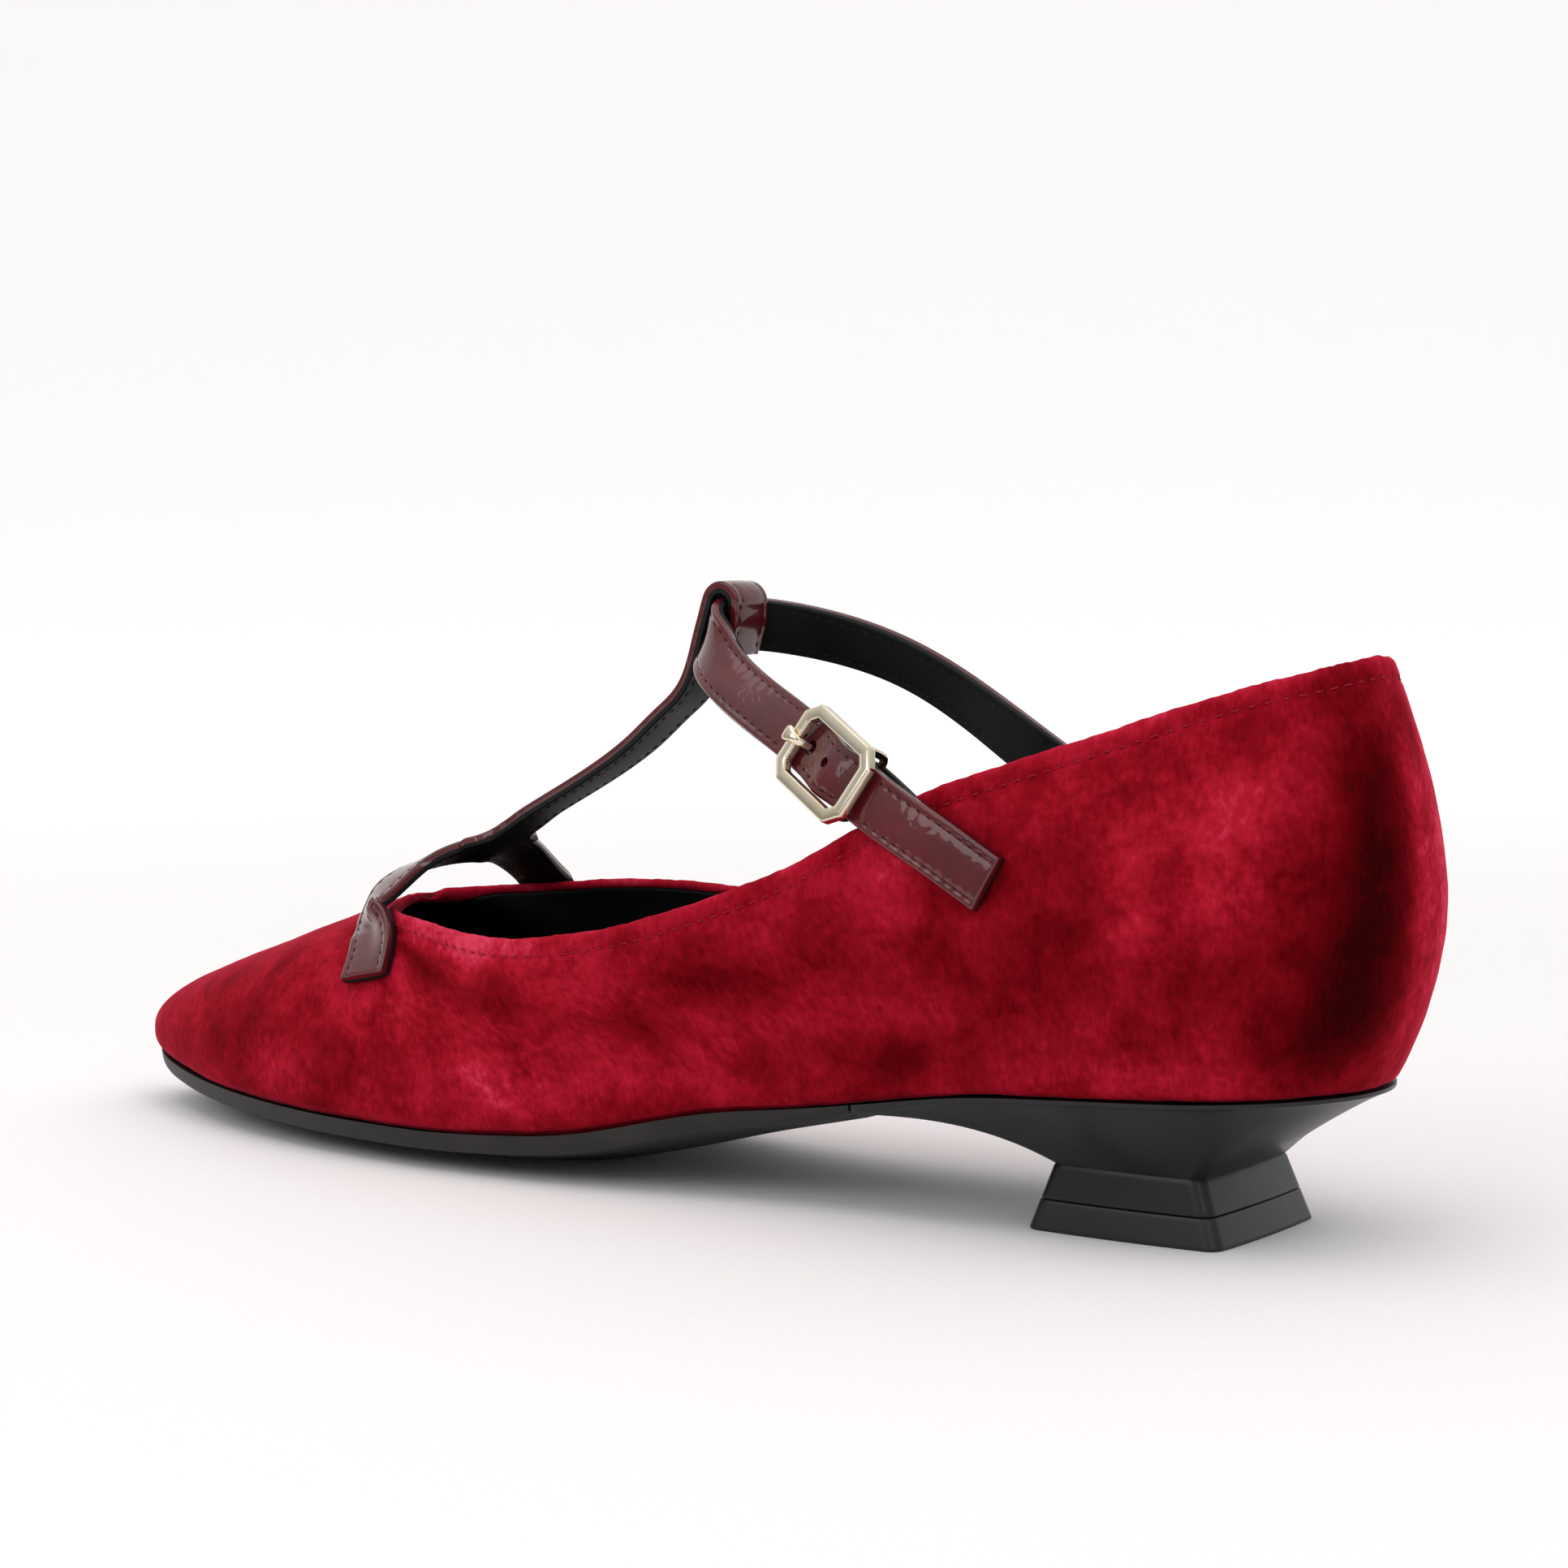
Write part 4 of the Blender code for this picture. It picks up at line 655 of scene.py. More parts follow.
    def row_of(self, along: float) -> float:
        """Fractional row of the feather line at a distance from the back of the heel.

        Args:
            along: distance from the back of the heel.
        Returns:
            The fractional row.
        """
        dense = np.linspace(0.0, LAST_ROW, 20 * LAST_ROW + 1)
        reach = self.feather(dense, np.ones(len(dense)))[:, 0]
        return float(np.interp(-along, -reach, dense))

    def world(self, points: np.ndarray) -> np.ndarray:
        """Turn last coordinates into the row frame."""
        return np.asarray(points, float) * TURN + np.array([*self.shift, 0.0])


def registered_last() -> Last:
    """Last whose wall, in the steps that the CAD takes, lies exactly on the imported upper.

    Returns:
        The last.
    """
    ribs_per_row, wall_steps, arc_steps = 2, 8, 3
    last = Last()
    rib = np.linspace(0.0, LAST_ROW, ribs_per_row * LAST_ROW + 1)
    low = np.full(3, np.inf)
    for side in Side:
        parts = last.ribs(rib, np.full(len(rib), float(side.value)))
        wall = [last.on_wall(parts["cubic"], k / wall_steps) for k in range(1, wall_steps + 1)]
        arc = [last.on_arc(parts, k, arc_steps) for k in range(arc_steps + 1)]
        low = np.minimum(low, (np.vstack(wall + arc) * TURN).min(axis=0))
    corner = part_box("upper")[0]
    return Last(shift=(float(corner.x - low[0]), float(corner.y - low[1])))


def linear(text: str) -> tuple:
    """Linear RGBA of an sRGB hex colour."""
    parts = [int(text[k:k + 2], 16) / 255.0 for k in (1, 3, 5)]
    return (*[c / 12.92 if c <= 0.04045 else ((c + 0.055) / 1.055) ** 2.4 for c in parts], 1.0)


def feed(node: bpy.types.Node, values: dict) -> None:
    """Fill a node's input sockets.

    Args:
        node: node to fill.
        values: socket name or number to a constant, to the output socket that feeds it, or to
            a node whose first output feeds it.
    """
    for key, value in values.items():
        source = value.outputs[0] if isinstance(value, bpy.types.Node) else value
        if isinstance(source, bpy.types.NodeSocket):
            node.id_data.links.new(source, node.inputs[key])
        else:
            node.inputs[key].default_value = source


def add(tree: bpy.types.NodeTree, kind: str, values: dict | None = None, stops: tuple = (),
        **settings: object) -> bpy.types.Node:
    """Add one node with its settings, its socket values and its links.

    Args:
        tree: node tree to add to.
        kind: Blender's name of the shader node, less its first word.
        values: what feed puts into its sockets.
        stops: places and hex colours of a colour ramp.
        settings: the node's own properties.
    Returns:
        The node.
    """
    node = tree.nodes.new("ShaderNode" + kind)
    for name, value in settings.items():
        setattr(node, name, value)
    feed(node, values or {})
    for k, (place, colour) in enumerate(stops):
        ramp = node.color_ramp.elements
        stop = ramp[k] if k < 2 else ramp.new(place)
        stop.position = place
        stop.color = linear(colour)
    return node


def blank(name: str) -> tuple:
    """New material with an empty tree: the material, its tree and its Principled shader.

    Args:
        name: the material's name.
    Returns:
        Material, tree and shader.
    """
    material = bpy.data.materials.new(name)
    material.use_nodes = True
    tree = material.node_tree
    tree.nodes.clear()
    shader = add(tree, "BsdfPrincipled")
    add(tree, "OutputMaterial", {"Surface": shader})
    return material, tree, shader


def millimetres(tree: bpy.types.NodeTree, tall: float | None = None) -> bpy.types.Node:
    """Coordinates in millimetres: the object's own, or the cloth's with its height scaled by tall.

    Args:
        tree: node tree to add to.
        tall: scale of the cloth's height, or None for object coordinates.
    Returns:
        The mapping node.
    """
    if tall is None:
        source = add(tree, "TexCoord").outputs["Object"]
    else:
        source = add(tree, "UVMap", uv_map="cloth")
    scale = (1.0 / MM, (1.0 if tall is None else tall) / MM, 1.0 / MM)
    return add(tree, "Mapping", {"Vector": source, "Scale": scale})


@dataclass(frozen=True)
class CrushedVelvet:
    """Crimson silk velvet, woven with a cut pile and crushed: the pile lies over in patches,
    dark where it leans from the eye and light where it leans across, and glows at the rim;
    this sheen and shade are painted into its colour."""

    deep: str = "#310002"
    shade: str = "#5B0108"
    body: str = "#870B1A"
    light: str = "#AE1930"
    glow: str = "#D23B57"
    crush_mm: float = 11.0
    fleck_mm: float = 1.5
    rib_mm: float = 0.8
    base_tone: float = -0.07

    def material(self) -> bpy.types.Material:
        """Tone from crush patches, flecks, woven ribs, the painted sheen and shade of the lying pile
        and the painted sheen along the rim, read by a colour ramp.

        Returns:
            The material.
        """
        material, tree, shader = blank("crushed velvet, crimson")
        crush, fleck, rib = (
            add(tree, "TexNoise", {"Vector": millimetres(tree, tall), "Scale": 1.0 / size, "Detail": detail,
                                   "Roughness": rough, "Distortion": bend})
            for size, tall, detail, rough, bend in ((self.crush_mm, 1.0, 6.0, 0.6, 0.25),
                                                    (self.fleck_mm, 0.85, 3.0, 0.6, 0.1),
                                                    (self.rib_mm, 0.33, 2.0, 0.5, 0.0)))
        # painted sheen and shade: these two attributes lighten and darken the colour where the pile lies over
        # and along the topline
        pile_sheen_shade, rim = (add(tree, "Attribute", attribute_name=name).outputs["Fac"]
                    for name in ("pile_sheen_shade", "pile_edge_sheen"))
        broken = add(tree, "Math", {0: crush, 1: fleck}, operation="ADD")
        lying = add(tree, "Math", {0: broken, 1: pile_sheen_shade}, operation="MULTIPLY")
        tones = [self.base_tone]
        for source, weight in ((crush, 0.72), (fleck, 0.28), (rib, 0.17), (lying, 0.21), (rim, 0.16)):
            tones.append(add(tree, "Math", {0: source, 1: weight, 2: tones[-1]}, operation="MULTIPLY_ADD"))
        ramp = add(tree, "ValToRGB", {"Fac": tones[-1]},
                   stops=((0.12, self.deep), (0.92, self.glow), (0.32, self.shade), (0.52, self.body),
                          (0.72, self.light)))
        bump = add(tree, "Bump", {"Height": tones[2], "Strength": 0.5, "Distance": 0.35 * MM})
        fine = add(tree, "Bump", {"Height": rib, "Strength": 0.35, "Distance": 0.12 * MM, "Normal": bump})
        feed(shader, {"Base Color": ramp, "Normal": fine, "Roughness": 0.85, "Specular IOR Level": 0.02,
                      "Sheen Weight": 0.75, "Sheen Roughness": 0.26, "Sheen Tint": linear("#F24462")})
        return material


@dataclass(frozen=True)
class PatentLeather:
    """Calf leather under a clear lacquer: a deep wine colour below a wet gloss that ripples
    a little over the grain and puckers along the seams."""

    colour: str = "#5C1219"
    dark: str = "#470A10"
    ripple_mm: float = 3.2

    def material(self) -> bpy.types.Material:
        """Wine base with slow cloudiness, a coat, and ripples in the lacquer.

        Returns:
            The material.
        """
        material, tree, shader = blank("patent leather, burgundy")
        place = millimetres(tree)
        cloud = add(tree, "TexNoise", {"Vector": place, "Scale": 0.12, "Detail": 4.0})
        ripple = add(tree, "TexNoise", {"Vector": place, "Scale": 1.0 / self.ripple_mm, "Detail": 3.0,
                                        "Roughness": 0.45, "Distortion": 0.6})
        crinkle = add(tree, "TexVoronoi", {"Vector": place, "Scale": 0.75}, feature="SMOOTH_F1")
        both = add(tree, "Math", {0: crinkle, 1: 0.25, 2: ripple}, operation="MULTIPLY_ADD")
        ramp = add(tree, "ValToRGB", {"Fac": cloud}, stops=((0.3, self.dark), (0.68, self.colour)))
        bump = add(tree, "Bump", {"Height": both, "Strength": 0.30, "Distance": 0.22 * MM})
        feed(shader, {"Base Color": ramp, "Normal": bump, "Coat Normal": bump, "Roughness": 0.3,
                      "Specular IOR Level": 0.2, "Coat Weight": 0.8, "Coat Roughness": 0.04})
        return material


@dataclass(frozen=True)
class Grained:
    """A dark surface with a fine grain, such as kid leather, rubber or moulded plastic."""

    name: str
    low: str
    high: str
    roughness: float
    grain_mm: float
    depth_mm: float
    strength: float = 0.4
    specular: float = 0.5

    def material(self) -> bpy.types.Material:
        """Cloudy colour, pebbled grain in the bump, and gloss that varies with the cloud.

        Returns:
            The material.
        """
        material, tree, shader = blank(self.name)
        place = millimetres(tree)
        cloud = add(tree, "TexNoise", {"Vector": place, "Scale": 0.09, "Detail": 6.0, "Roughness": 0.6})
        grain = add(tree, "TexVoronoi", {"Vector": place, "Scale": 1.0 / self.grain_mm}, feature="SMOOTH_F1")
        fine = add(tree, "TexNoise", {"Vector": place, "Scale": 2.2 / self.grain_mm, "Detail": 2.0})
        relief = add(tree, "Math", {0: fine, 1: 0.5, 2: grain}, operation="MULTIPLY_ADD")
        ramp = add(tree, "ValToRGB", {"Fac": cloud}, stops=((0.32, self.low), (0.70, self.high)))
        rough = add(tree, "MapRange", {"Value": cloud, "To Min": self.roughness - 0.05,
                                       "To Max": self.roughness + 0.07})
        bump = add(tree, "Bump", {"Height": relief, "Strength": self.strength,
                                  "Distance": self.depth_mm * MM})
        feed(shader, {"Base Color": ramp, "Roughness": rough, "Normal": bump,
                      "Specular IOR Level": self.specular})
        return material


@dataclass(frozen=True)
class PaleGold:
    """Zinc casting with pale gold plating, tumbled and polished: a warm mirror whose gloss
    varies a little with its polishing marks."""

    colour: str = "#E9E0CC"
    warm: str = "#DDCFB2"

    def material(self) -> bpy.types.Material:
        """Metal with a slow colour drift and polishing marks in the roughness.

        Returns:
            The material.
        """
        material, tree, shader = blank("pale gold plating, polished")
        place = millimetres(tree)
        drift = add(tree, "TexNoise", {"Vector": place, "Scale": 0.15, "Detail": 3.0})
        mark = add(tree, "TexNoise", {"Vector": place, "Scale": 2.4, "Detail": 4.0, "Roughness": 0.6})
        ramp = add(tree, "ValToRGB", {"Fac": drift}, stops=((0.3, self.warm), (0.7, self.colour)))
        rough = add(tree, "MapRange", {"Value": mark, "To Min": 0.08, "To Max": 0.18})
        bump = add(tree, "Bump", {"Height": mark, "Strength": 0.03, "Distance": 0.03 * MM})
        feed(shader, {"Base Color": ramp, "Roughness": rough, "Normal": bump, "Metallic": 1.0})
        return material


@dataclass(frozen=True)
class Thread:
    """Bonded polyester sewing thread, two-ply: a dull line with a fine twist."""

    name: str
    colour: str
    dark: str

    def material(self) -> bpy.types.Material:
        """Twisted plies as slanted bands of colour and bump.

        Returns:
            The material.
        """
        material, tree, shader = blank(self.name)
        twist = add(tree, "TexWave", {"Vector": millimetres(tree), "Scale": 0.55, "Distortion": 1.0},
                    bands_direction="DIAGONAL").outputs["Fac"]
        ramp = add(tree, "ValToRGB", {"Fac": twist}, stops=((0.2, self.dark), (0.8, self.colour)))
        bump = add(tree, "Bump", {"Height": twist, "Strength": 0.3, "Distance": 0.06 * MM})
        feed(shader, {"Base Color": ramp, "Normal": bump, "Roughness": 0.7, "Specular IOR Level": 0.2})
        return material


def made(finish: CrushedVelvet | PatentLeather | Grained | PaleGold | Thread) -> Field:
    """Field whose material the finish makes when all finishes are set up."""
    return field(default_factory=finish.material)


@dataclass
class Finishes:
    """All finishes of the shoe, each made once."""

    velvet: bpy.types.Material = made(CrushedVelvet())
    patent: bpy.types.Material = made(PatentLeather())
    lining: bpy.types.Material = made(
        Grained("kid leather, black, drum dyed", "#070909", "#101313", 0.5, 0.55, 0.10, 0.4, 0.2))
    sock: bpy.types.Material = made(
        Grained("kid leather sock, black", "#08090A", "#111213", 0.52, 0.7, 0.12, 0.4, 0.25))
    sole: bpy.types.Material = made(
        Grained("resin rubber sole, black, sanded edge", "#161614", "#262522", 0.52, 0.45, 0.06, 0.35, 0.35))
    heel: bpy.types.Material = made(
        Grained("ABS heel, black, fine spark texture", "#101011", "#18181A", 0.34, 0.38, 0.03, 0.3, 0.36))
    lift: bpy.types.Material = made(
        Grained("polyurethane top lift, black, moulded", "#111112", "#1A1A1A", 0.40, 0.5, 0.03, 0.3, 0.45))
    gold: bpy.types.Material = made(PaleGold())
    strap_thread: bpy.types.Material = made(Thread("polyester thread, burgundy", "#38090D", "#1C0305"))
    lining_thread: bpy.types.Material = made(Thread("polyester thread, black", "#232425", "#0D0D0E"))
    velvet_thread: bpy.types.Material = made(Thread("polyester thread, crimson", "#A3122A", "#7C0A1C"))


def mesh_from(name: str, points: np.ndarray, faces: list) -> bpy.types.Mesh:
    """New mesh of places and of arrays of faces.

    Args:
        name: the mesh's name.
        points: places.
        faces: arrays of faces.
    Returns:
        The mesh.
    """
    mesh = bpy.data.meshes.new(name)
    flat = [face for block in faces for face in block.tolist()]
    mesh.from_pydata(np.asarray(points, float).tolist(), [], flat)
    return mesh


def turn_outwards(mesh: bpy.types.Mesh, weld: float = 0.0) -> None:
    """Weld points closer than a distance, if one is given, and turn the faces outwards.

    Args:
        mesh: mesh to change.
        weld: distance in metres, or 0 for none.
    """
    work = bmesh.new()
    work.from_mesh(mesh)
    if weld:
        bmesh.ops.remove_doubles(work, verts=work.verts, dist=weld)
        bmesh.ops.dissolve_degenerate(work, edges=work.edges, dist=weld)
    bmesh.ops.recalc_face_normals(work, faces=work.faces)
    work.to_mesh(mesh)
    work.free()


def linked(name: str, data: bpy.types.ID) -> bpy.types.Object:
    """New object in the scene.

    Args:
        name: the object's name.
        data: the object's data.
    Returns:
        The object.
    """
    thing = bpy.data.objects.new(name, data)
    bpy.context.scene.collection.objects.link(thing)
    return thing


def make_piece(name: str, points: np.ndarray, faces: list, material: bpy.types.Material,
               replaced: tuple = (), uv: np.ndarray | None = None, values: dict | None = None,
               weld: float = 2e-6, sharp: float = 40.0) -> bpy.types.Object:
    """Closed mesh in the row frame, welded, turned outwards, dressed and riding on the shoe.

    Args:
        name: the piece's name.
        points: places in the row frame.
        faces: arrays of faces, one row for each.
        material: its finish.
        replaced: CAD nodes that it stands for.
        uv: one pair for each corner of each face, in metres.
        values: named numbers for each point.
        weld: points closer than this become one.
        sharp: edges sharper than this many degrees stay hard.
    Returns:
        The object.
    """
    mesh = mesh_from(name, points, faces)
    if uv is not None:
        mesh.uv_layers.new(name="cloth").data.foreach_set("uv", np.asarray(uv, np.float32).ravel())
    for key, numbers in (values or {}).items():
        mesh.attributes.new(key, "FLOAT", "POINT").data.foreach_set("value", np.asarray(numbers, np.float32))
    turn_outwards(mesh, weld)
    mesh.shade_smooth()
    mesh.set_sharp_from_angle(angle=math.radians(sharp))
    mesh.materials.append(material)
    piece = linked(name, mesh)
    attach(piece, "root")
    if replaced:
        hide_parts(*replaced)
    log.info("%s: %d faces", name, len(mesh.polygons))
    return piece


@dataclass
class Sheet:
    """A strap's middle sheet on a grid: places, face normals, distance from its edge, distances
    along and across, and half its width."""

    points: np.ndarray
    normals: np.ndarray
    edge: np.ndarray
    along: np.ndarray
    across: np.ndarray
    half: float

    def slab(self, high: np.ndarray, low: np.ndarray) -> tuple:
        """Closed slab: the sheet moved out by high and by low along its normals, joined by a rim.

        Args:
            high: height of the face over the sheet, for each place.
            low: height of the back over the sheet, for each place.
        Returns:
            Points and faces.
        """
        layers = np.stack([self.points + level[..., None] * self.normals for level in (high, low)])
        return layers.reshape(-1, 3), slab_faces(*self.edge.shape)


def crowded(length: float, step: float, edge: float) -> np.ndarray:
    """Places from 0 to length that crowd within edge of both ends, to draw a rounded edge.

    Args:
        length: the whole length.
        step: distance of the inner places.
        edge: radius of the rounded edge.
    Returns:
        Places in rising order.
    """
    near = edge * (1.0 - np.cos(np.linspace(0.0, math.pi / 2, 5)))
    inner = np.linspace(edge, length - edge, max(3, int((length - 2 * edge) / step)))
    return np.concatenate([near[:-1], inner, (length - near[:-1])[::-1]])


@dataclass
class Upper:
    """Velvet outside with its rolled topline, black lining inside, and the topline's seam."""

    last: Last
    finish: Finishes
    ribs_per_row: int = 12
    wall_rows: int = 40
    collar_radius: float = 0.9 * MM
    velvet: float = 1.0 * MM
    wrap: float = 1.5 * MM
    seam: float = 3.5 * MM
    seam_depth: float = 0.35 * MM
    stitch: float = 2.6 * MM
    margin_rows: int = 3
    arc_rows: int = 8
    middle_row: int = 30

    def __post_init__(self) -> None:
        """Work out the wall once, as a closed loop of ribs by heights."""
        near = np.array([0.006, 0.018, 0.036, 0.058])
        even = np.linspace(0.0, LAST_ROW, self.ribs_per_row * LAST_ROW + 1)
        ribs = np.unique(np.round(np.concatenate([even, THROAT_ROW - near, THROAT_ROW + near]), 6))
        count = len(ribs)
        self.rib = np.concatenate([ribs, ribs[-2:0:-1]])
        self.side = np.concatenate([np.ones(count), -np.ones(count - 2)])
        self.mirror = np.concatenate([np.arange(count), np.arange(count - 2, 0, -1)])
        self.count = count
        last = self.last
        parts = last.ribs(self.rib, self.side)
        rows = []
        for k in range(self.margin_rows):
            inset = last.feather_radius + (last.margin - last.feather_radius) * (1.0 - k / self.margin_rows)
            rows.append(parts["foot"] + inset * parts["inward"])
        rows += [last.on_arc(parts, k, self.arc_rows - 1) for k in range(self.arc_rows)]
        for point in rows[:self.margin_rows + 1]:
            point[:, 2] = last.under(point[:, 0], point[:, 1])
        lower = 1.0 - TOP_GAPS[0] / parts["speed"]
        rows += [last.on_wall(parts["cubic"], lower * k / self.wall_rows) for k in range(1, self.wall_rows)]
        rows += [last.on_wall(parts["cubic"], 1.0 - gap / parts["speed"]) for gap in TOP_GAPS]
        self.grid = np.stack(rows, axis=1)
        self.normal = self.normals(self.grid)
        shape = self.grid.shape[:2]
        edge_rib = np.linspace(THROAT_ROW, LAST_ROW, 460)
        ones = np.ones(len(edge_rib))
        line = np.vstack([last.top(edge_rib, ones), last.top(edge_rib, -ones)[::-1]])
        self.edge = distance_to(self.grid.reshape(-1, 3), line).reshape(shape)
        self.edge[self.edge < 0.02 * MM] = 0.0
        ahead = np.linspace(0.0, THROAT_ROW, 300)
        ridge = last.top(ahead, np.ones(len(ahead)))
        off = distance_to(self.grid.reshape(-1, 3), ridge).reshape(shape)
        self.off_ridge = smooth(off, 0.0, 6.0 * MM)
        around = running(self.grid[:count, self.middle_row][::-1])[::-1]
        self.around = np.repeat(around[self.mirror][:, None], shape[1], axis=1)

    def normals(self, grid: np.ndarray) -> np.ndarray:
        """Outward normals: the cross product of the grid's two ways, shared along the ridge.

        Args:
            grid: places, ribs by heights.
        Returns:
            One normal for each place.
        """
        round_way = np.roll(grid, -1, axis=0) - np.roll(grid, 1, axis=0)
        up_way = np.gradient(grid, axis=1)
        normal = unit(np.cross(up_way, round_way))
        inside = grid[:, :, :2].mean(axis=(0, 1))
        level = self.middle_row
        outward = ((grid[:, level, :2] - inside) * normal[:, level, :2]).sum() > 0
        normal = normal if outward else -normal
        count = self.count
        ahead = np.arange(1, count)[self.rib[1:count] <= THROAT_ROW + 1e-9]
        other = len(self.rib) - ahead
        shared = unit(normal[ahead, -1] + normal[other, -1])
        normal[ahead, -1] = shared
        normal[other, -1] = shared
        throat = int(np.argmin(np.abs(self.rib[:count] - THROAT_ROW)))
        front = int(np.argmin(np.abs(self.rib[:count] - THROAT_ROW + 0.4)))
        apart = np.linalg.norm(grid - grid[throat, -1], axis=2, keepdims=True)
        weight = 1.0 - smooth(apart, 1.5 * MM, 6.0 * MM)
        return unit(weight * normal[front, -1] + (1.0 - weight) * normal)

    def relief(self) -> np.ndarray:
        """Height of the cloth over the last: listed folds, slow unevenness and the seam.

        Returns:
            Height for each place.
        """
        height = self.grid[:, :, 2]
        around = self.around
        folds = patches(FOLDS, around, height) * MM
        wave = np.sin(around / (5.1 * MM) + 2.0 * np.sin(height / (9.0 * MM)))
        wave += np.sin(height / (3.9 * MM) + 2.4 * np.sin(around / (8.3 * MM)) + self.side[:, None])
        fine = np.sin(around / (1.37 * MM) + 3.0 * np.sin(height / (2.9 * MM)))
        fine += np.sin(height / (1.15 * MM) + 3.0 * np.sin(around / (2.3 * MM)))
        calm = smooth(self.edge, 0.0, 1.5 * MM) * self.off_ridge
        seam = -self.seam_depth * np.exp(-((self.edge - self.seam) / (0.42 * MM)) ** 2)
        pitch = 0.5 + 0.5 * np.cos(2.0 * math.pi * around / self.stitch)
        open_top = smooth(self.rib, THROAT_ROW - 0.4, THROAT_ROW + 0.2)[:, None]
        puff = 0.10 * MM * np.exp(-((self.edge - 1.9 * MM) / (1.2 * MM)) ** 2)
        cloth = (folds + 0.05 * MM * wave + 0.022 * MM * fine) * calm
        return cloth + (seam * (0.6 + 0.4 * pitch) + puff) * open_top

    def rough_rim(self) -> np.ndarray:
        """Small steps of the pile along the topline, up and down the wall.

        Returns:
            Shift up the wall for each place.
        """
        around = self.around
        tuft = (np.sin(around / (0.41 * MM)) + np.sin(around / (0.93 * MM) + 1.0)
                + 1.3 * np.sin(around / (2.7 * MM) + 2.0 * self.side[:, None]))
        clear = smooth(self.rib, THROAT_ROW + 0.05, THROAT_ROW + 0.5)[:, None]
        return 0.055 * MM * tuft * (1.0 - smooth(self.edge, 0.0, 1.6 * MM)) * clear

    def shell(self, high: np.ndarray, low: np.ndarray) -> tuple:
        """Closed shell between two depths under the outer surface.

        Args:
            high: depth of the outer face, negative inwards.
            low: depth of the inner face.
        Returns:
            Points, faces and the corners' UV in metres.
        """
        loops, rows = self.edge.shape
        up_way = unit(np.gradient(self.grid, axis=1))
        base = self.grid + self.rough_rim()[..., None] * up_way
        face = base + high[..., None] * self.normal
        back = base + low[..., None] * self.normal
        count = loops * rows
        quads = grid_quads(loops + 1, rows)
        corner = np.mod(quads, count)
        around = self.around[:, 0]
        round_length = np.concatenate([around[:self.count], -around[self.count:], [-around[0]]])
        step = np.linalg.norm(np.diff(self.grid, axis=1), axis=2)
        climb = np.concatenate([np.zeros((loops, 1)), np.cumsum(step, axis=1)], axis=1)
        climb = np.vstack([climb, climb[:1]])
        flat = np.stack([np.repeat(round_length[:, None], rows, axis=1), climb], axis=-1).reshape(-1, 2)
        uv = flat[quads.ravel()]
        rim_a = np.arange(loops) * rows
        rim_b = np.roll(rim_a, -1)
        rim = np.stack([rim_a, rim_b, rim_b + count, rim_a + count], axis=-1)
        top_a = rim_a + rows - 1
        top_b = np.roll(top_a, -1)
        open_top = (self.rib > THROAT_ROW - 1e-6) & (np.roll(self.rib, -1) > THROAT_ROW - 1e-6)
        lid = np.stack([top_a, top_a + count, top_b + count, top_b], axis=-1)[open_top]
        faces = [corner, corner[:, ::-1] + count, rim, lid]
        extra = np.zeros((4 * (len(corner) + len(rim) + len(lid)), 2))
        extra[:4 * len(corner)] = flat[quads[:, ::-1].ravel()]
        return np.vstack([face.reshape(-1, 3), back.reshape(-1, 3)]), faces, np.vstack([uv, extra])

    def build(self) -> None:
        """Velvet shell with the rolled edge, lining shell below it, and the seam's stitches."""
        edge = self.edge
        drop = eased(edge, self.collar_radius)
        tucked = 1.0 - smooth(edge, self.wrap - 0.3 * MM, self.wrap + 0.2 * MM)
        # painted sheen and shade of the lying pile: listed patches that darken and lighten the velvet's
        # colour
        pile_sheen_shade_out = patches(OUTER_PILE_SHEEN_SHADE, self.around, self.grid[:, :, 2])
        pile_sheen_shade_in = patches(INNER_PILE_SHEEN_SHADE, self.around, self.grid[:, :, 2])
        pile_sheen_shade = np.where(self.side[:, None] > 0, pile_sheen_shade_out, pile_sheen_shade_in)
        blend = smooth(self.around, 0.0, 6 * MM)
        pile_sheen_shade = pile_sheen_shade * blend + 0.5 * (pile_sheen_shade_out + pile_sheen_shade_in) * (1.0 - blend)
        open_top = smooth(self.rib, THROAT_ROW - 0.6, THROAT_ROW)[:, None]
        # painted sheen along the topline: the velvet's colour is lighter near the edge
        topline_sheen = np.exp(-(edge / (1.5 * MM)) ** 2) * open_top
        relief = self.relief()
        high = relief - drop
        low = -(self.velvet + tucked * (self.last.wall - self.velvet - 0.02 * MM)) + drop * tucked
        low = np.where(edge <= 0.0, high, np.minimum(low, high - 0.02 * MM))
        points, faces, uv = self.shell(high, low)
        values = {"pile_sheen_shade": np.tile(pile_sheen_shade.ravel(), 2), "pile_edge_sheen": np.tile(topline_sheen.ravel(), 2)}
        make_piece("upper_velvet", self.last.world(points), faces, self.finish.velvet,
                   ("upper",), uv, values, sharp=70.0)
        depth = smooth(edge, 0.0, 0.3 * MM)
        shown = smooth(edge, self.wrap - 0.25 * MM, self.wrap + 0.15 * MM)
        top = -(0.9 * MM + 0.15 * MM * depth)
        bottom = -(0.9 * MM + 0.25 * MM * depth + shown * (self.last.wall - 1.15 * MM))
        points, faces, uv = self.shell(top, np.minimum(bottom, top - 0.01 * MM))
        make_piece("upper_lining", self.last.world(points), faces, self.finish.lining, (), uv,
                   None, sharp=70.0)
        self.sew()

    def sew(self) -> None:
        """Stitches of the topline's seam, all round, sunk in their groove."""
        chosen = self.rib >= THROAT_ROW + 0.35
        row = int(np.argmin(np.abs(TOP_GAPS - self.seam))) - len(TOP_GAPS)
        line = (self.grid + (self.relief() + 0.10 * MM)[..., None] * self.normal)[chosen, row]
        ends = stitch_ends(line, self.normal[chosen, row], self.stitch, 0.62)
        make_stitches("topline_seam", *ends, 0.16 * MM, self.last, self.finish.velvet_thread, Slot.VELVET)


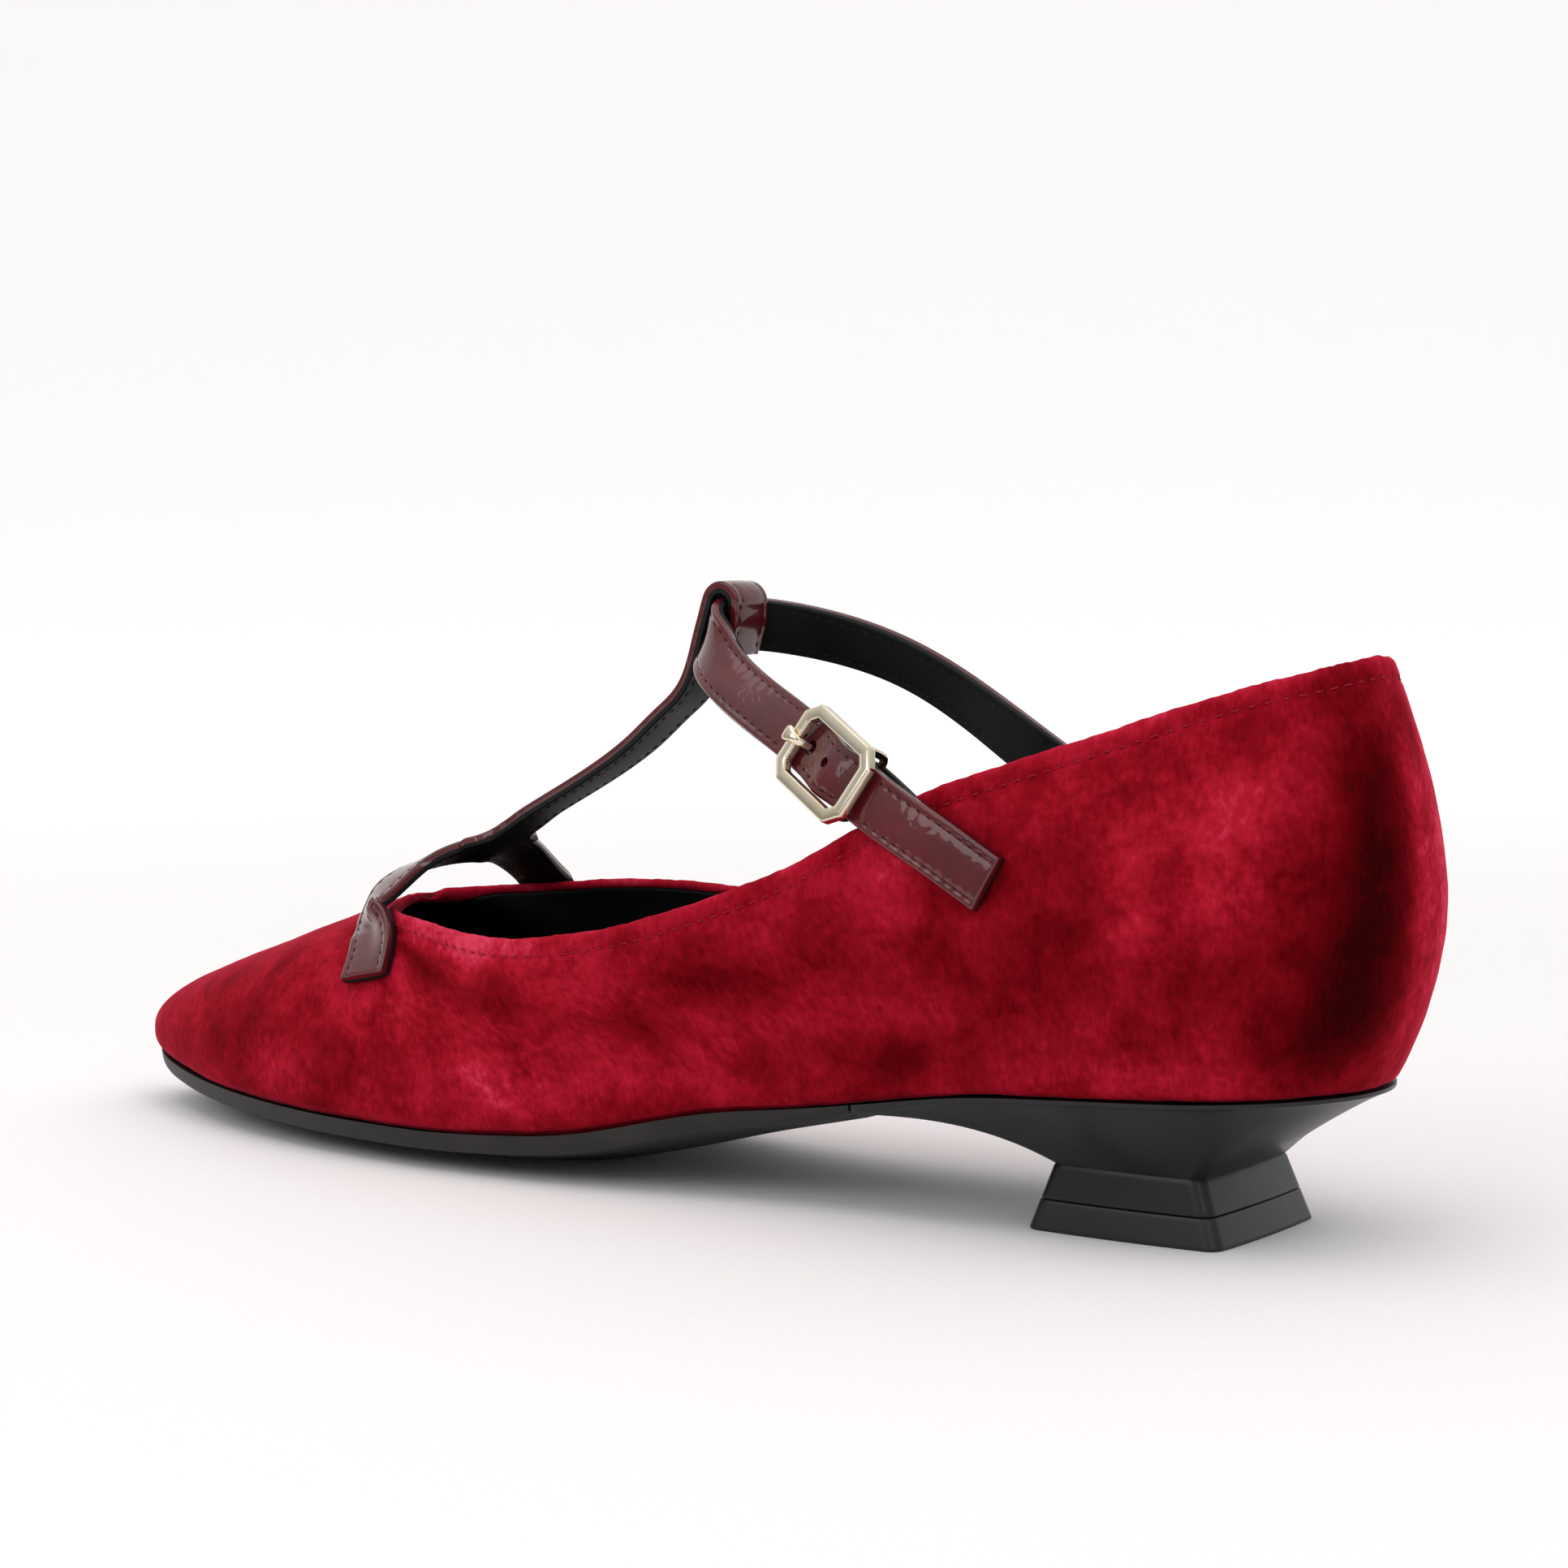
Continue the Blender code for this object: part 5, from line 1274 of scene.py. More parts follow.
def stitch_ends(line: np.ndarray, looks: np.ndarray, pitch: float, share: float) -> tuple:
    """Ends of the stitches along a line: at each multiple of the pitch, a run of that share of it.

    Args:
        line: points of the seam.
        looks: the way that the cloth looks there.
        pitch: length of a stitch with its gap.
        share: part of the pitch that the thread shows.
    Returns:
        Starts, ends and normals.
    """
    run = running(line)
    first = np.arange(0.5 * pitch, run[-1] - pitch, pitch)
    start, end = (read_along(at, run, line) for at in (first, first + share * pitch))
    return start, end, unit(read_along(first, run, looks))


def make_stitches(name: str, start: np.ndarray, end: np.ndarray, look: np.ndarray, radius: float,
                  last: Last, material: bpy.types.Material, slot: Slot) -> None:
    """Small arched spindles of thread: rings of six points whose middle rises and whose ends sink.

    Args:
        name: the piece's name.
        start: one end of each stitch.
        end: the other end.
        look: the way that the cloth looks at each.
        radius: the thread's radius.
        last: turns places into the row frame.
        material: the thread's finish.
        slot: not used.
    """
    way = unit(end - start)
    side = np.cross(look, way)
    share = np.array([0.0, 0.12, 0.5, 0.88, 1.0])
    swell = np.array([0.35, 0.85, 1.0, 0.85, 0.35])
    lift = np.array([-1.6, -0.5, 0.35, -0.5, -1.6])
    sides, rings = 6, len(share)
    turn = 2.0 * math.pi * np.arange(sides) / sides
    centre = start[:, None] + share[None, :, None] * (end - start)[:, None]
    centre = centre + (lift * radius)[None, :, None] * look[:, None]
    spoke = np.cos(turn)[None, :, None] * side[:, None] + np.sin(turn)[None, :, None] * look[:, None]
    points = centre[:, :, None] + (swell * radius)[None, :, None, None] * spoke[:, None]
    offset = rings * sides * np.arange(len(start))[:, None, None]
    quads, *caps = ring_faces(rings, sides)
    quads = (quads[None] + offset).reshape(-1, 4)
    caps = (np.vstack(caps)[None] + offset).reshape(-1, sides)
    make_piece(name, last.world(points.reshape(-1, 3)), [quads, caps], material, weld=1e-8)


@dataclass
class Bottom:
    """Insole sock, outsole, heel and top lift."""

    last: Last
    finish: Finishes
    sole_inset: float = 1.2 * MM
    shank: float = 2.4 * MM
    insole: float = 1.6 * MM
    lip_reach: float = 0.086
    lip: float = 1.4 * MM
    taper: float = 9.0 * MM
    lift_size: tuple = (0.0338, 0.0344)
    lift_setback: float = 0.0256
    waist_size: tuple = (0.0263, 0.0311)
    waist_setback: float = 0.0039
    waist_height: float = 0.0104
    lift_height: float = 0.0050
    corner: float = 0.0026
    bow: float = 0.0005
    corner_steps: int = 10
    side_steps: int = 22
    seat_back: float = 0.066
    seat_share: float = 0.7
    cup_end: float = 0.25
    cup_fade: float = 0.07
    rim_edge: float = 0.6 * MM

    def outline(self, rib: np.ndarray, inset: float) -> list:
        """Lateral and medial feather line at the ribs, moved inwards.

        Args:
            rib: fractional rows of the feather line.
            inset: distance inwards.
        Returns:
            Lateral places, then medial places.
        """
        out = []
        for side in Side:
            sides = np.full(len(rib), float(side.value))
            foot = self.last.feather(rib, sides)
            out.append(foot + inset * self.last.inward(self.last.feather, rib, sides))
        return out

    def sole_top(self, points: np.ndarray) -> np.ndarray:
        """Top of outsole and heel: the upper's underside less the fit gap."""
        return self.last.under(points[..., 0], points[..., 1]) - self.last.gap

    def sole_under(self, points: np.ndarray) -> np.ndarray:
        """Tread of the outsole, never below the floor.

        Args:
            points: places.
        Returns:
            Heights over the floor.
        """
        joint = 0.52 * self.last.length
        share = np.clip((joint - points[..., 0]) / (joint - self.lip_reach), 0.0, 1.0)
        thick = self.last.sole + (self.shank - self.last.sole) * share
        eased_in = smooth(points[..., 0], self.lip_reach, self.lip_reach + self.taper)
        thick = self.lip + (thick - self.lip) * eased_in
        return np.maximum(self.sole_top(points) - thick, 0.0)

    def build(self) -> None:
        """Make all four pieces."""
        self.build_outsole()
        self.build_insole()
        self.build_heel()

    def build_outsole(self) -> None:
        """Outsole: sections across, with a top, quarter-round edges and a tread."""
        end = self.last.row_of(self.lip_reach + self.last.gap)
        rib = end * (1.0 - np.cos(np.linspace(0.0, math.pi / 2, 200)))
        homes = self.outline(rib, self.sole_inset)
        deeps = self.outline(rib, self.sole_inset + 0.5 * self.last.sole)
        across = np.linspace(0.0, 1.0, 25)[:, None, None]
        top = homes[1] + across * (homes[0] - homes[1])
        top[..., 2] = self.sole_top(top)
        tread = deeps[0] + across[1:-1] * (deeps[1] - deeps[0])
        tread[..., 2] = self.sole_under(tread)
        edges = []
        for home, deep in zip(homes, deeps):
            high, low = self.sole_top(home), self.sole_under(deep)
            run = []
            for angle in np.linspace(0.0, math.pi / 2, 8)[1:]:
                place = home + (deep - home) * (1.0 - math.cos(angle))
                place[:, 2] = high + (low - high) * math.sin(angle)
                run.append(place)
            edges.append(run)
        points = np.stack([*top, *edges[0], *tread, *edges[1][::-1]], axis=1)
        faces = ring_faces(*points.shape[:2], start=False)
        make_piece("outsole_rubber", self.last.world(points.reshape(-1, 3)), faces, self.finish.sole,
                   ("outsole",), weld=2e-5)

    def build_insole(self) -> None:
        """Insole: a soft-edged sheet that fills the floor of the upper."""
        rib = 0.5 * LAST_ROW * (1.0 - np.cos(np.linspace(0.0, math.pi, 190)))
        lateral, medial = self.outline(rib, self.last.feather_radius + 3.0 * self.last.gap)
        share = 0.5 * (1.0 - np.cos(np.linspace(0.0, math.pi, 31)))
        points = medial[:, None] + share[None, :, None] * (lateral - medial)[:, None]
        flat = np.array([1.0, 1.0, 0.0])
        rim = np.vstack([lateral, medial[::-1]]) * flat
        gap = distance_to(points.reshape(-1, 3) * flat, rim).reshape(points.shape[:2])
        floor = self.last.under(points[..., 0], points[..., 1]) + self.last.wall + self.last.gap
        bead = 0.18 * MM * np.exp(-((gap - 2.6 * MM) / (0.5 * MM)) ** 2)
        layers = np.stack([points, points])
        layers[0, ..., 2] = floor + self.insole - eased(gap, 0.8 * MM) - bead
        layers[1, ..., 2] = floor
        make_piece("insole_sock", self.last.world(layers.reshape(-1, 3)), slab_faces(*gap.shape),
                   self.finish.sock, ("insole",), weld=1e-5)

    def box_ring(self, length: float, width: float, start: float, inset: float) -> np.ndarray:
        """Plan of a heel section: four arcs for its corners, four bowed sides between them.

        Args:
            length: size along.
            width: size across.
            start: distance of its back from the heel's back.
            inset: distance inwards.
        Returns:
            Places of the ring, at height 0.
        """
        half_length = 0.5 * length - inset
        half_width = 0.5 * width - inset
        corner = self.corner - 0.5 * inset
        points = []
        for along, across, angle in ((-1, 1, 180), (1, 1, 90), (1, -1, 0), (-1, -1, -90)):
            middle = np.array([along * (half_length - corner), across * (half_width - corner)])
            turn = np.radians(np.linspace(angle, angle - 90, self.corner_steps))
            points.append(middle + corner * np.column_stack([np.cos(turn), np.sin(turn)]))
        ring = []
        share = (np.arange(1, self.side_steps) / self.side_steps)[:, None]
        for k in range(4):
            a, b = points[k][-1], points[(k + 1) % 4][0]
            out = unit(np.array([-(b - a)[1], (b - a)[0]]))
            ring += [points[k], a + share * (b - a) + out * self.bow * 4.0 * share * (1.0 - share)]
        ring = np.vstack(ring)
        ring[:, 0] += start + 0.5 * length
        return np.column_stack([ring, np.zeros(len(ring))])

    def section(self, height: float, inset: float = 0.0) -> np.ndarray:
        """Section of the heel's flared foot: sizes go in a straight line from the lift to the waist.

        Args:
            height: height over the floor.
            inset: distance inwards.
        Returns:
            Places of the ring.
        """
        share = height / self.waist_height
        size = [a + (b - a) * share for a, b in zip(self.lift_size, self.waist_size)]
        ring = self.box_ring(*size, self.lift_setback + self.waist_setback * share, inset)
        ring[:, 2] = height
        return ring

    def seat_ring(self) -> np.ndarray:
        """Ring of the heel's seat in step with box_ring: the feather line and a straight lip.

        Returns:
            Places of the ring.
        """
        last = self.last
        front = last.row_of(self.lip_reach)
        back = last.row_of(self.seat_back * last.length)
        inset = self.seat_share * self.sole_inset
        behind, beside, lip_turn = 0.45, 0.25, 0.12
        steps = self.side_steps
        corner = np.linspace(back + behind, back - beside, self.corner_steps)
        side = np.linspace(corner[-1], front + lip_turn, steps + 1)[1:-1]
        ahead = np.linspace(front + lip_turn, front, self.corner_steps)
        lateral, medial = self.outline(np.concatenate([corner, side, ahead]), inset)
        lip = lateral[-1, 0]
        turn = np.linspace(0.0, 1.0, self.corner_steps)
        pull = np.interp(turn, (0, 1 / 3, 2 / 3, 1), (0.0, 0.002, 0.008, 0.02))
        reach = np.interp(turn, (0, 1 / 3, 2 / 3, 1), (0.0, 0.45, 0.8, 1.0))
        for ends in (lateral, medial):
            first = ends[-self.corner_steps].copy()
            ends[-self.corner_steps:, 1] = first[1] * (1.0 - pull)
            ends[-self.corner_steps:, 0] = first[0] + (lip - first[0]) * reach
        share = (np.arange(1, steps) / steps)[:, None]
        middle = lateral[-1] + share * (medial[-1] - lateral[-1])
        around = np.linspace(back + behind, LAST_ROW, steps // 2 + 1)
        behind_out, behind_in = self.outline(around, inset)
        return np.vstack([lateral, middle, medial[::-1], behind_in[1:], behind_out[1:-1][::-1]])

    def build_heel(self) -> None:
        """Heel: flared foot, eased waist, and a cup that spreads to the seat and the forward lip."""
        ease = 0.35 * MM
        seam = 0.14 * MM
        foot = [(self.lift_height, seam), (self.lift_height + 0.35 * seam, 0.35 * seam),
                (self.lift_height + seam, 0.0)]
        rings = [self.section(height, inset) for height, inset in foot]
        rings += [self.section(h) for h in np.linspace(self.lift_height + 2 * ease,
                                                       self.waist_height - ease, 9)]
        waist = self.section(self.waist_height, 0.12 * MM)
        seat = self.seat_ring()
        seat[:, 2] = self.sole_top(seat)
        past = seat[:, 0] - self.cup_end * self.last.length
        reach = np.clip(past / (self.cup_fade * self.last.length), 0.0, 1.0)
        rim = seat.copy()
        rim[:, 2] -= self.rim_edge + (self.lip - self.rim_edge) * reach
        ahead = np.clip((seat[:, 0] - waist[:, 0].mean()) / (self.lip_reach - waist[:, 0].mean()), 0.0, 1.0)
        power = 1.12 + 1.5 * ahead
        for share in np.concatenate([[0.0, 0.012, 0.03], np.linspace(0.06, 1.0, 34)]):
            ring = waist + (rim - waist) * share
            rise = 1.0 - (1.0 - share) ** power
            ring[:, 2] = waist[:, 2] + (rim[:, 2] - waist[:, 2]) * rise
            rings.append(ring)
        rings.append(seat)
        spine = seat.copy()
        spine[:, 1] = 0.0
        spine[:, 0] = np.clip(seat[:, 0], 0.1 * self.last.length, self.lip_reach - 0.02 * self.last.length)
        for share in np.linspace(0.2, 1.0, 6):
            ring = seat + (spine - seat) * share
            ring[:, 2] = self.sole_top(ring)
            rings.append(ring)
        self.close("heel_moulded", rings, self.finish.heel, Slot.HEEL, "heel", False)
        top = self.lift_height - 0.5 * self.last.gap
        levels = [(0.0, ease), (0.12 * MM, 0.35 * ease), (ease, 0.0)]
        levels += [(h, 0.0) for h in np.linspace(2 * ease, top - 2 * ease, 6)]
        levels += [(top - seam, 0.0), (top - 0.35 * seam, 0.35 * seam), (top, seam)]
        lift = [self.section(h, inset) for h, inset in levels]
        self.close("top_lift_moulded", lift, self.finish.lift, Slot.RUBBER, "top_lift", True)

    def close(self, name: str, rings: list, material: bpy.types.Material, slot: Slot, node: str,
              lid: bool) -> None:
        """Skin over rings: the first is filled by shrinking it to its middle, the last by a lid if set.

        Args:
            name: the piece's name.
            rings: rings of points, one after the other.
            material: its finish.
            slot: not used.
            node: CAD node that it stands for.
            lid: close the last ring with one face.
        """
        first = rings[0]
        inner = []
        for share in (0.35, 0.7, 0.98):
            ring = first.copy()
            ring[:, :2] += (first[:, :2].mean(axis=0) - first[:, :2]) * share
            inner.append(ring)
        points = np.array(inner[::-1] + rings)
        make_piece(name, self.last.world(points.reshape(-1, 3)), ring_faces(*points.shape[:2], end=lid),
                   material, (node,), weld=8e-6)


@dataclass
class Straps:
    """Instep strap and T-bar: patent face, black lining, seams along the edges."""

    last: Last
    finish: Finishes
    upper: Upper
    width: float = 0.0092
    thick: float = 0.0021
    chape_width: float = 0.0084
    chape_thick: float = 0.0014
    instep: tuple = (0.1274, 0.0, 0.0929)
    loop_tilt: float = math.radians(18.0)
    fork: tuple = (0.1815, -0.0025, 0.0520)
    face_depth: float = 1.2 * MM
    edge_round: float = 0.42 * MM
    seam_inset: float = 1.3 * MM
    pitch: float = 2.2 * MM
    hole: float = 1.7 * MM
    hole_pitch: float = 5.4 * MM
    arch: float = 0.9 * MM
    slip: float = 0.5 * MM
    rest: float = 0.45 * MM
    web: float = 4.5 * MM
    tuck: float = 2.6 * MM
    pucker_depth: float = 0.16 * MM

    def on_wall(self, table: np.ndarray, side: Side, thick: float, inside: bool = False) -> tuple:
        """Middle line of a strap that lies on the wall, and the way that its face looks.

        Args:
            table: places on the wall, one in each row.
            side: side of the foot.
            thick: the strap's thickness.
            inside: lie inside the wall and not on it.
        Returns:
            Places and looks.
        """
        point, normal = self.last.wall_frame(table[:, 0], table[:, 1], float(side.value))
        lift = self.last.gap + 0.5 * thick + table[:, 2:3] * self.thick
        return (point - (self.last.wall + lift) * normal if inside else point + lift * normal), normal

    def instep_knots(self) -> tuple:
        """Knots of the instep strap, their looks, and the first that hangs in the air.

        Returns:
            Knots, looks and a number of knots.
        """
        size = np.array([self.instep[0], 0.5 * self.last.seat_width, self.instep[2]])
        air = np.array(self.instep) + INSTEP_ROUTE[:, :3] * size
        anchor, anchor_look = self.on_wall(ANCHOR_IN_WALL, Side.MEDIAL, self.thick, inside=True)
        tail, tail_look = self.on_wall(TAIL_ON_WALL, Side.LATERAL, self.thick)
        points = np.vstack([anchor[::-1], air, tail])
        return points, np.vstack([anchor_look[::-1], unit(INSTEP_ROUTE[:, 3:]), tail_look]), len(anchor)

    def lanes(self, half: float) -> np.ndarray:
        """Places across a strap, from -1 to 1, that crowd at its edges and its seams.

        Args:
            half: half the strap's width.
        Returns:
            Places from -1 to 1.
        """
        edge = half - self.edge_round * (1.0 - np.cos(np.linspace(math.pi / 2, 0.0, 5)))
        seam = half - self.seam_inset + np.array([-0.7, -0.35, 0.0, 0.35, 0.6]) * MM
        inner = np.array([0.0, 0.3, 0.6]) * (half - 2.0 * self.seam_inset)
        places = np.unique(np.round(np.concatenate([inner, seam, edge[::-1]]), 7))
        return np.concatenate([-places[:0:-1], places]) / half

    def pucker(self, sheet: Sheet) -> np.ndarray:
        """Dip along both seams that deepens at each needle hole, and a slight crown between them.

        Args:
            sheet: the strap's sheet.
        Returns:
            Height for each place of the sheet.
        """
        lane = np.abs(sheet.across) - (sheet.half - self.seam_inset)
        wave = 0.5 + 0.5 * np.cos(2.0 * math.pi * sheet.along / self.pitch)
        crown = 0.10 * MM * (1.0 - (sheet.across / sheet.half) ** 2)
        return crown - self.pucker_depth * np.exp(-(lane / (0.42 * MM)) ** 2) * (0.45 + 0.55 * wave)

    def dress(self, name: str, sheet: Sheet, node: str) -> tuple:
        """Two plies on a sheet: the patent face with its folded edge, and the lining under it.

        Args:
            name: the strap's name.
            sheet: its middle sheet.
            node: CAD node that it stands for.
        Returns:
            The patent piece and the lining piece.
        """
        top = 0.5 * self.thick
        step = np.full_like(sheet.edge, top - self.face_depth)
        dip = self.pucker(sheet)
        points, faces = sheet.slab(top + dip - eased(sheet.edge, self.edge_round), step)
        patent = make_piece(name + "_patent", self.last.world(points), faces, self.finish.patent,
                            (node,), sharp=55.0)
        points, faces = sheet.slab(step - 0.02 * MM, -top + eased(sheet.edge, 0.3 * MM) - 0.35 * dip)
        lining = make_piece(name + "_lining", self.last.world(points), faces, self.finish.lining,
                            sharp=55.0)
        self.sew(name, sheet)
        return patent, lining

    def sew(self, name: str, sheet: Sheet) -> None:
        """Two rows of stitches on the face and two on the lining.

        Args:
            name: the strap's name.
            sheet: its middle sheet.
        """
        index = np.arange(len(sheet.across))
        for face, sign, sink, material, slot in (
                ("face", 1.0, 0.10 * MM, self.finish.strap_thread, Slot.PATENT),
                ("back", -1.0, 0.02 * MM, self.finish.lining_thread, Slot.LINING)):
            rows = []
            for place in (self.seam_inset - sheet.half, sheet.half - self.seam_inset):
                at = np.array([np.interp(place, r, np.arange(len(r))) for r in sheet.across])
                low = np.clip(np.floor(at).astype(int), 0, sheet.across.shape[1] - 2)
                share = (at - low)[:, None]
                line = sheet.points[index, low] * (1 - share) + sheet.points[index, low + 1] * share
                normal = sheet.normals[index, low] * sign
                rows.append(stitch_ends(line + (0.5 * self.thick - sink) * normal, normal, self.pitch, 0.66))
            make_stitches(f"{name}_{face}_stitches", *map(np.vstack, zip(*rows)), 0.15 * MM, self.last,
                          material, slot)

    def plain_sheet(self, knots: np.ndarray, looks: np.ndarray, half: float, step: float,
                    rounding: float) -> Sheet:
        """Sheet of a strap through knots, with rows that crowd at both ends.

        Args:
            knots: places of its middle line.
            looks: the way that its face looks at each.
            half: half its width.
            step: distance of the rows.
            rounding: radius of its rounded edges.
        Returns:
            The sheet.
        """
        table = np.hstack([knots, looks])
        dense = spline_open(table, np.linspace(0.0, len(table) - 1, 60 * len(table)), knot_gaps(table))
        length = running(dense[:, :3])
        want = np.clip(crowded(length[-1], step, rounding), 0.0, length[-1])
        rows = read_along(want, length, dense)
        path, faces_out = rows[:, :3], unit(rows[:, 3:])
        tangent = unit(np.gradient(path, axis=0))
        normals = unit(faces_out - (faces_out * tangent).sum(axis=1, keepdims=True) * tangent)
        reach = np.tile(half * self.lanes(half), (len(path), 1))
        points = path[:, None] + reach[..., None] * np.cross(normals, tangent)[:, None]
        run = running(path)
        along = np.repeat(run[:, None], reach.shape[1], axis=1)
        edge = np.minimum(half - np.abs(reach), np.minimum(along, run[-1] - along))
        return Sheet(points, np.repeat(normals[:, None], reach.shape[1], axis=1), edge, along, reach, half)

    def build(self) -> None:
        """Make both straps."""
        self.build_instep()
        self.build_t_bar()

    def buckle_frame(self) -> tuple:
        """Centre of the buckle on the strap, the way to the tail, the way out and the side.

        Returns:
            Centre and three unit vectors.
        """
        points, looks, start = self.instep_knots()
        at = start + BUCKLE_ROW
        table = np.hstack([points, looks])
        behind, here, ahead = spline_open(table, [at - 0.4, at, at + 0.4], knot_gaps(table))
        toward = unit(ahead[:3] - behind[:3])
        out = unit(here[3:] - here[3:].dot(toward) * toward)
        return here[:3], toward, out, np.cross(out, toward)

    def in_buckle(self, local: np.ndarray) -> np.ndarray:
        """Turn buckle coordinates (toward the tail, to the side, out) into the last frame.

        Args:
            local: buckle coordinates.
        Returns:
            Places in the last frame.
        """
        centre, toward, out, side = self.buckle_frame()
        local = np.asarray(local, float)
        return centre + local[..., :1] * toward + local[..., 1:2] * side + local[..., 2:3] * out

    def build_instep(self) -> None:
        """Instep strap from the inner wall to its tail, with three punched holes."""
        points, looks, _ = self.instep_knots()
        sheet = self.plain_sheet(points, looks, 0.5 * self.width, 0.30 * MM, self.edge_round)
        centre, _, _, side = self.buckle_frame()
        near = np.linalg.norm(sheet.points.mean(axis=1) - centre, axis=1)
        rise = self.arch * np.exp(-(near / (3.6 * MM)) ** 2)
        crown = 1.0 - 0.6 * (sheet.across / sheet.half) ** 2
        sheet.points = sheet.points + (rise[:, None] * crown)[..., None] * sheet.normals
        sheet.points = sheet.points - (self.slip / self.arch * rise)[:, None, None] * side
        plies = self.dress("instep_strap", sheet, "instep_strap")
        turn = np.linspace(0.0, 2.0 * math.pi, 25)[:-1]
        for k in (-1, 0, 1):
            at = HOLE_AT + k * self.hole_pitch
            size = self.hole if k else PRONG_HOLE
            ring = np.column_stack([at + 0.5 * size * np.cos(turn), 0.5 * size * np.sin(turn), 0.0 * turn])
            rings = np.vstack([ring + level * UP for level in (-6 * MM, 6 * MM)])
            for ply in plies:
                punch(ply, self.last.world(self.in_buckle(rings)), len(turn))

    def loop_knots(self) -> tuple:
        """Knots of the T-bar's loop round the instep strap, from its free end to the front foot.

        Returns:
            Knots and looks.
        """
        centre = np.array(self.instep)
        out = np.array([math.cos(self.loop_tilt), 0.0, math.sin(self.loop_tilt)])
        rise = np.array([-math.sin(self.loop_tilt), 0.0, math.cos(self.loop_tilt)])
        ply = self.thick + 2.0 * self.last.gap
        half = 0.5 * self.width
        points = [centre - (ply + 2.0 * self.last.gap) * out + h * half * rise for h in (-0.95, -0.3, 0.35)]
        normals = [-out] * 3
        bend = centre + (half - 0.5 * self.thick) * rise
        for angle in np.radians(np.arange(180.0, -1.0, -22.5)):
            way = math.cos(angle) * out + math.sin(angle) * rise
            points.append(bend + ply * way)
            normals.append(way)
        points += [centre + ply * out + h * half * rise for h in (0.0, -0.7)]
        return np.array(points), np.array(normals + [out] * 2)

    def crossbar(self) -> tuple:
        """Knots and looks of the bar made by both arms, from the outer end to the inner end.

        Returns:
            Knots and looks.
        """
        fork = np.array(self.fork)
        knots, looks = [], []
        for side, table in ((Side.LATERAL, OUTER_ARM_ON_WALL), (Side.MEDIAL, INNER_ARM_ON_WALL)):
            lying, faces_out = self.on_wall(table, side, self.thick)
            knots.append(np.vstack([fork + (lying[0] - fork) * BRIDGE_SHARES, lying]))
            looks.append(np.vstack([BRIDGE_LOOKS * (1.0, side.value, 1.0), faces_out]))
        return (np.vstack([knots[0][::-1], fork, knots[1]]),
                unit(np.vstack([looks[0][::-1], FORK_LOOK, looks[1]])))

    def build_t_bar(self) -> None:
        """T-bar: a sheet for the crossbar, and one for loop and stem whose end widens and sinks into it."""
        half = 0.5 * self.width
        bar = self.plain_sheet(*self.crossbar(), half, 0.55 * MM, self.edge_round)
        bar.points, bar.normals = self.drape(bar.points, bar.normals)
        self.dress("t_bar_arms", bar, "t_bar")
        loop, loop_look = self.loop_knots()
        foot = loop[-1]
        fork = np.array(self.fork)
        stem = np.column_stack([foot[0] + STEM_ROUTE[:, 0] * (fork[0] - foot[0]),
                                STEM_ROUTE[:, 1] * 0.5 * self.last.ball_width,
                                foot[2] + STEM_ROUTE[:, 2] * (fork[2] - foot[2])])
        slope = unit(np.gradient(np.vstack([stem, fork]), axis=0))
        stem_look = np.column_stack([-slope[:, 2], np.zeros(len(slope)), slope[:, 0]])
        root = fork - unit(fork - stem[-1]) * (half - self.tuck)
        sheet = self.plain_sheet(np.vstack([loop, stem, root]), np.vstack([loop_look, stem_look]), half,
                                 0.45 * MM, self.edge_round)
        left = sheet.along[-1, 0] - sheet.along[:, 0]
        flare = eased(left - 0.4 * self.tuck, self.web)
        side = np.sign(sheet.across) * (np.abs(sheet.across) / half) ** 3 * flare[:, None]
        way = unit(sheet.points[:, -1] - sheet.points[:, 0])
        spread = sheet.points + side[..., None] * way[:, None]
        foot, _, nearest, apart = feet(spread, bar.points, bar.normals)
        weight = (1.0 - smooth(apart, 0.5 * self.width, 1.3 * self.width))[..., None]
        level = foot - 0.04 * MM * bar.normals.reshape(-1, 3)[nearest]
        sheet.points = spread + weight * (level - spread)
        sheet.normals = facing(sheet.points, sheet.normals)
        self.dress("t_bar_stem", sheet, "t_bar")

    def drape(self, points: np.ndarray, normals: np.ndarray) -> tuple:
        """Lay a sheet on the velvet: below the topline every place sits at one height over the
        wall, and above it the sheet keeps its own route over the opening.

        Args:
            points: places of the sheet, rows by columns.
            normals: the way that its face looks.
        Returns:
            Moved places and their new normals.
        """
        upper = self.upper
        start = upper.margin_rows + upper.arc_rows + 1
        _, height, nearest, _ = feet(points, upper.grid[:, start:], upper.normal[:, start:])
        edge = upper.edge[:, start:].reshape(-1)[nearest]
        look = upper.normal[:, start:].reshape(-1, 3)[nearest]
        want = 0.5 * self.thick + self.rest
        lying = smooth(edge, 0.3 * MM, 4.0 * MM)
        over = np.where(edge > 0.3 * MM, np.maximum(height, want), height)
        shift = ((want - over) * lying + (over - height))[..., None] * look
        passes, reach = 4, 2
        for _ in range(passes):
            padded = np.pad(shift, ((reach, reach), (0, 0), (0, 0)), mode="edge")
            shift = sum(padded[k:k + len(shift)] for k in range(2 * reach + 1)) / (2.0 * reach + 1.0)
        moved = points + shift
        return moved, facing(moved, normals)


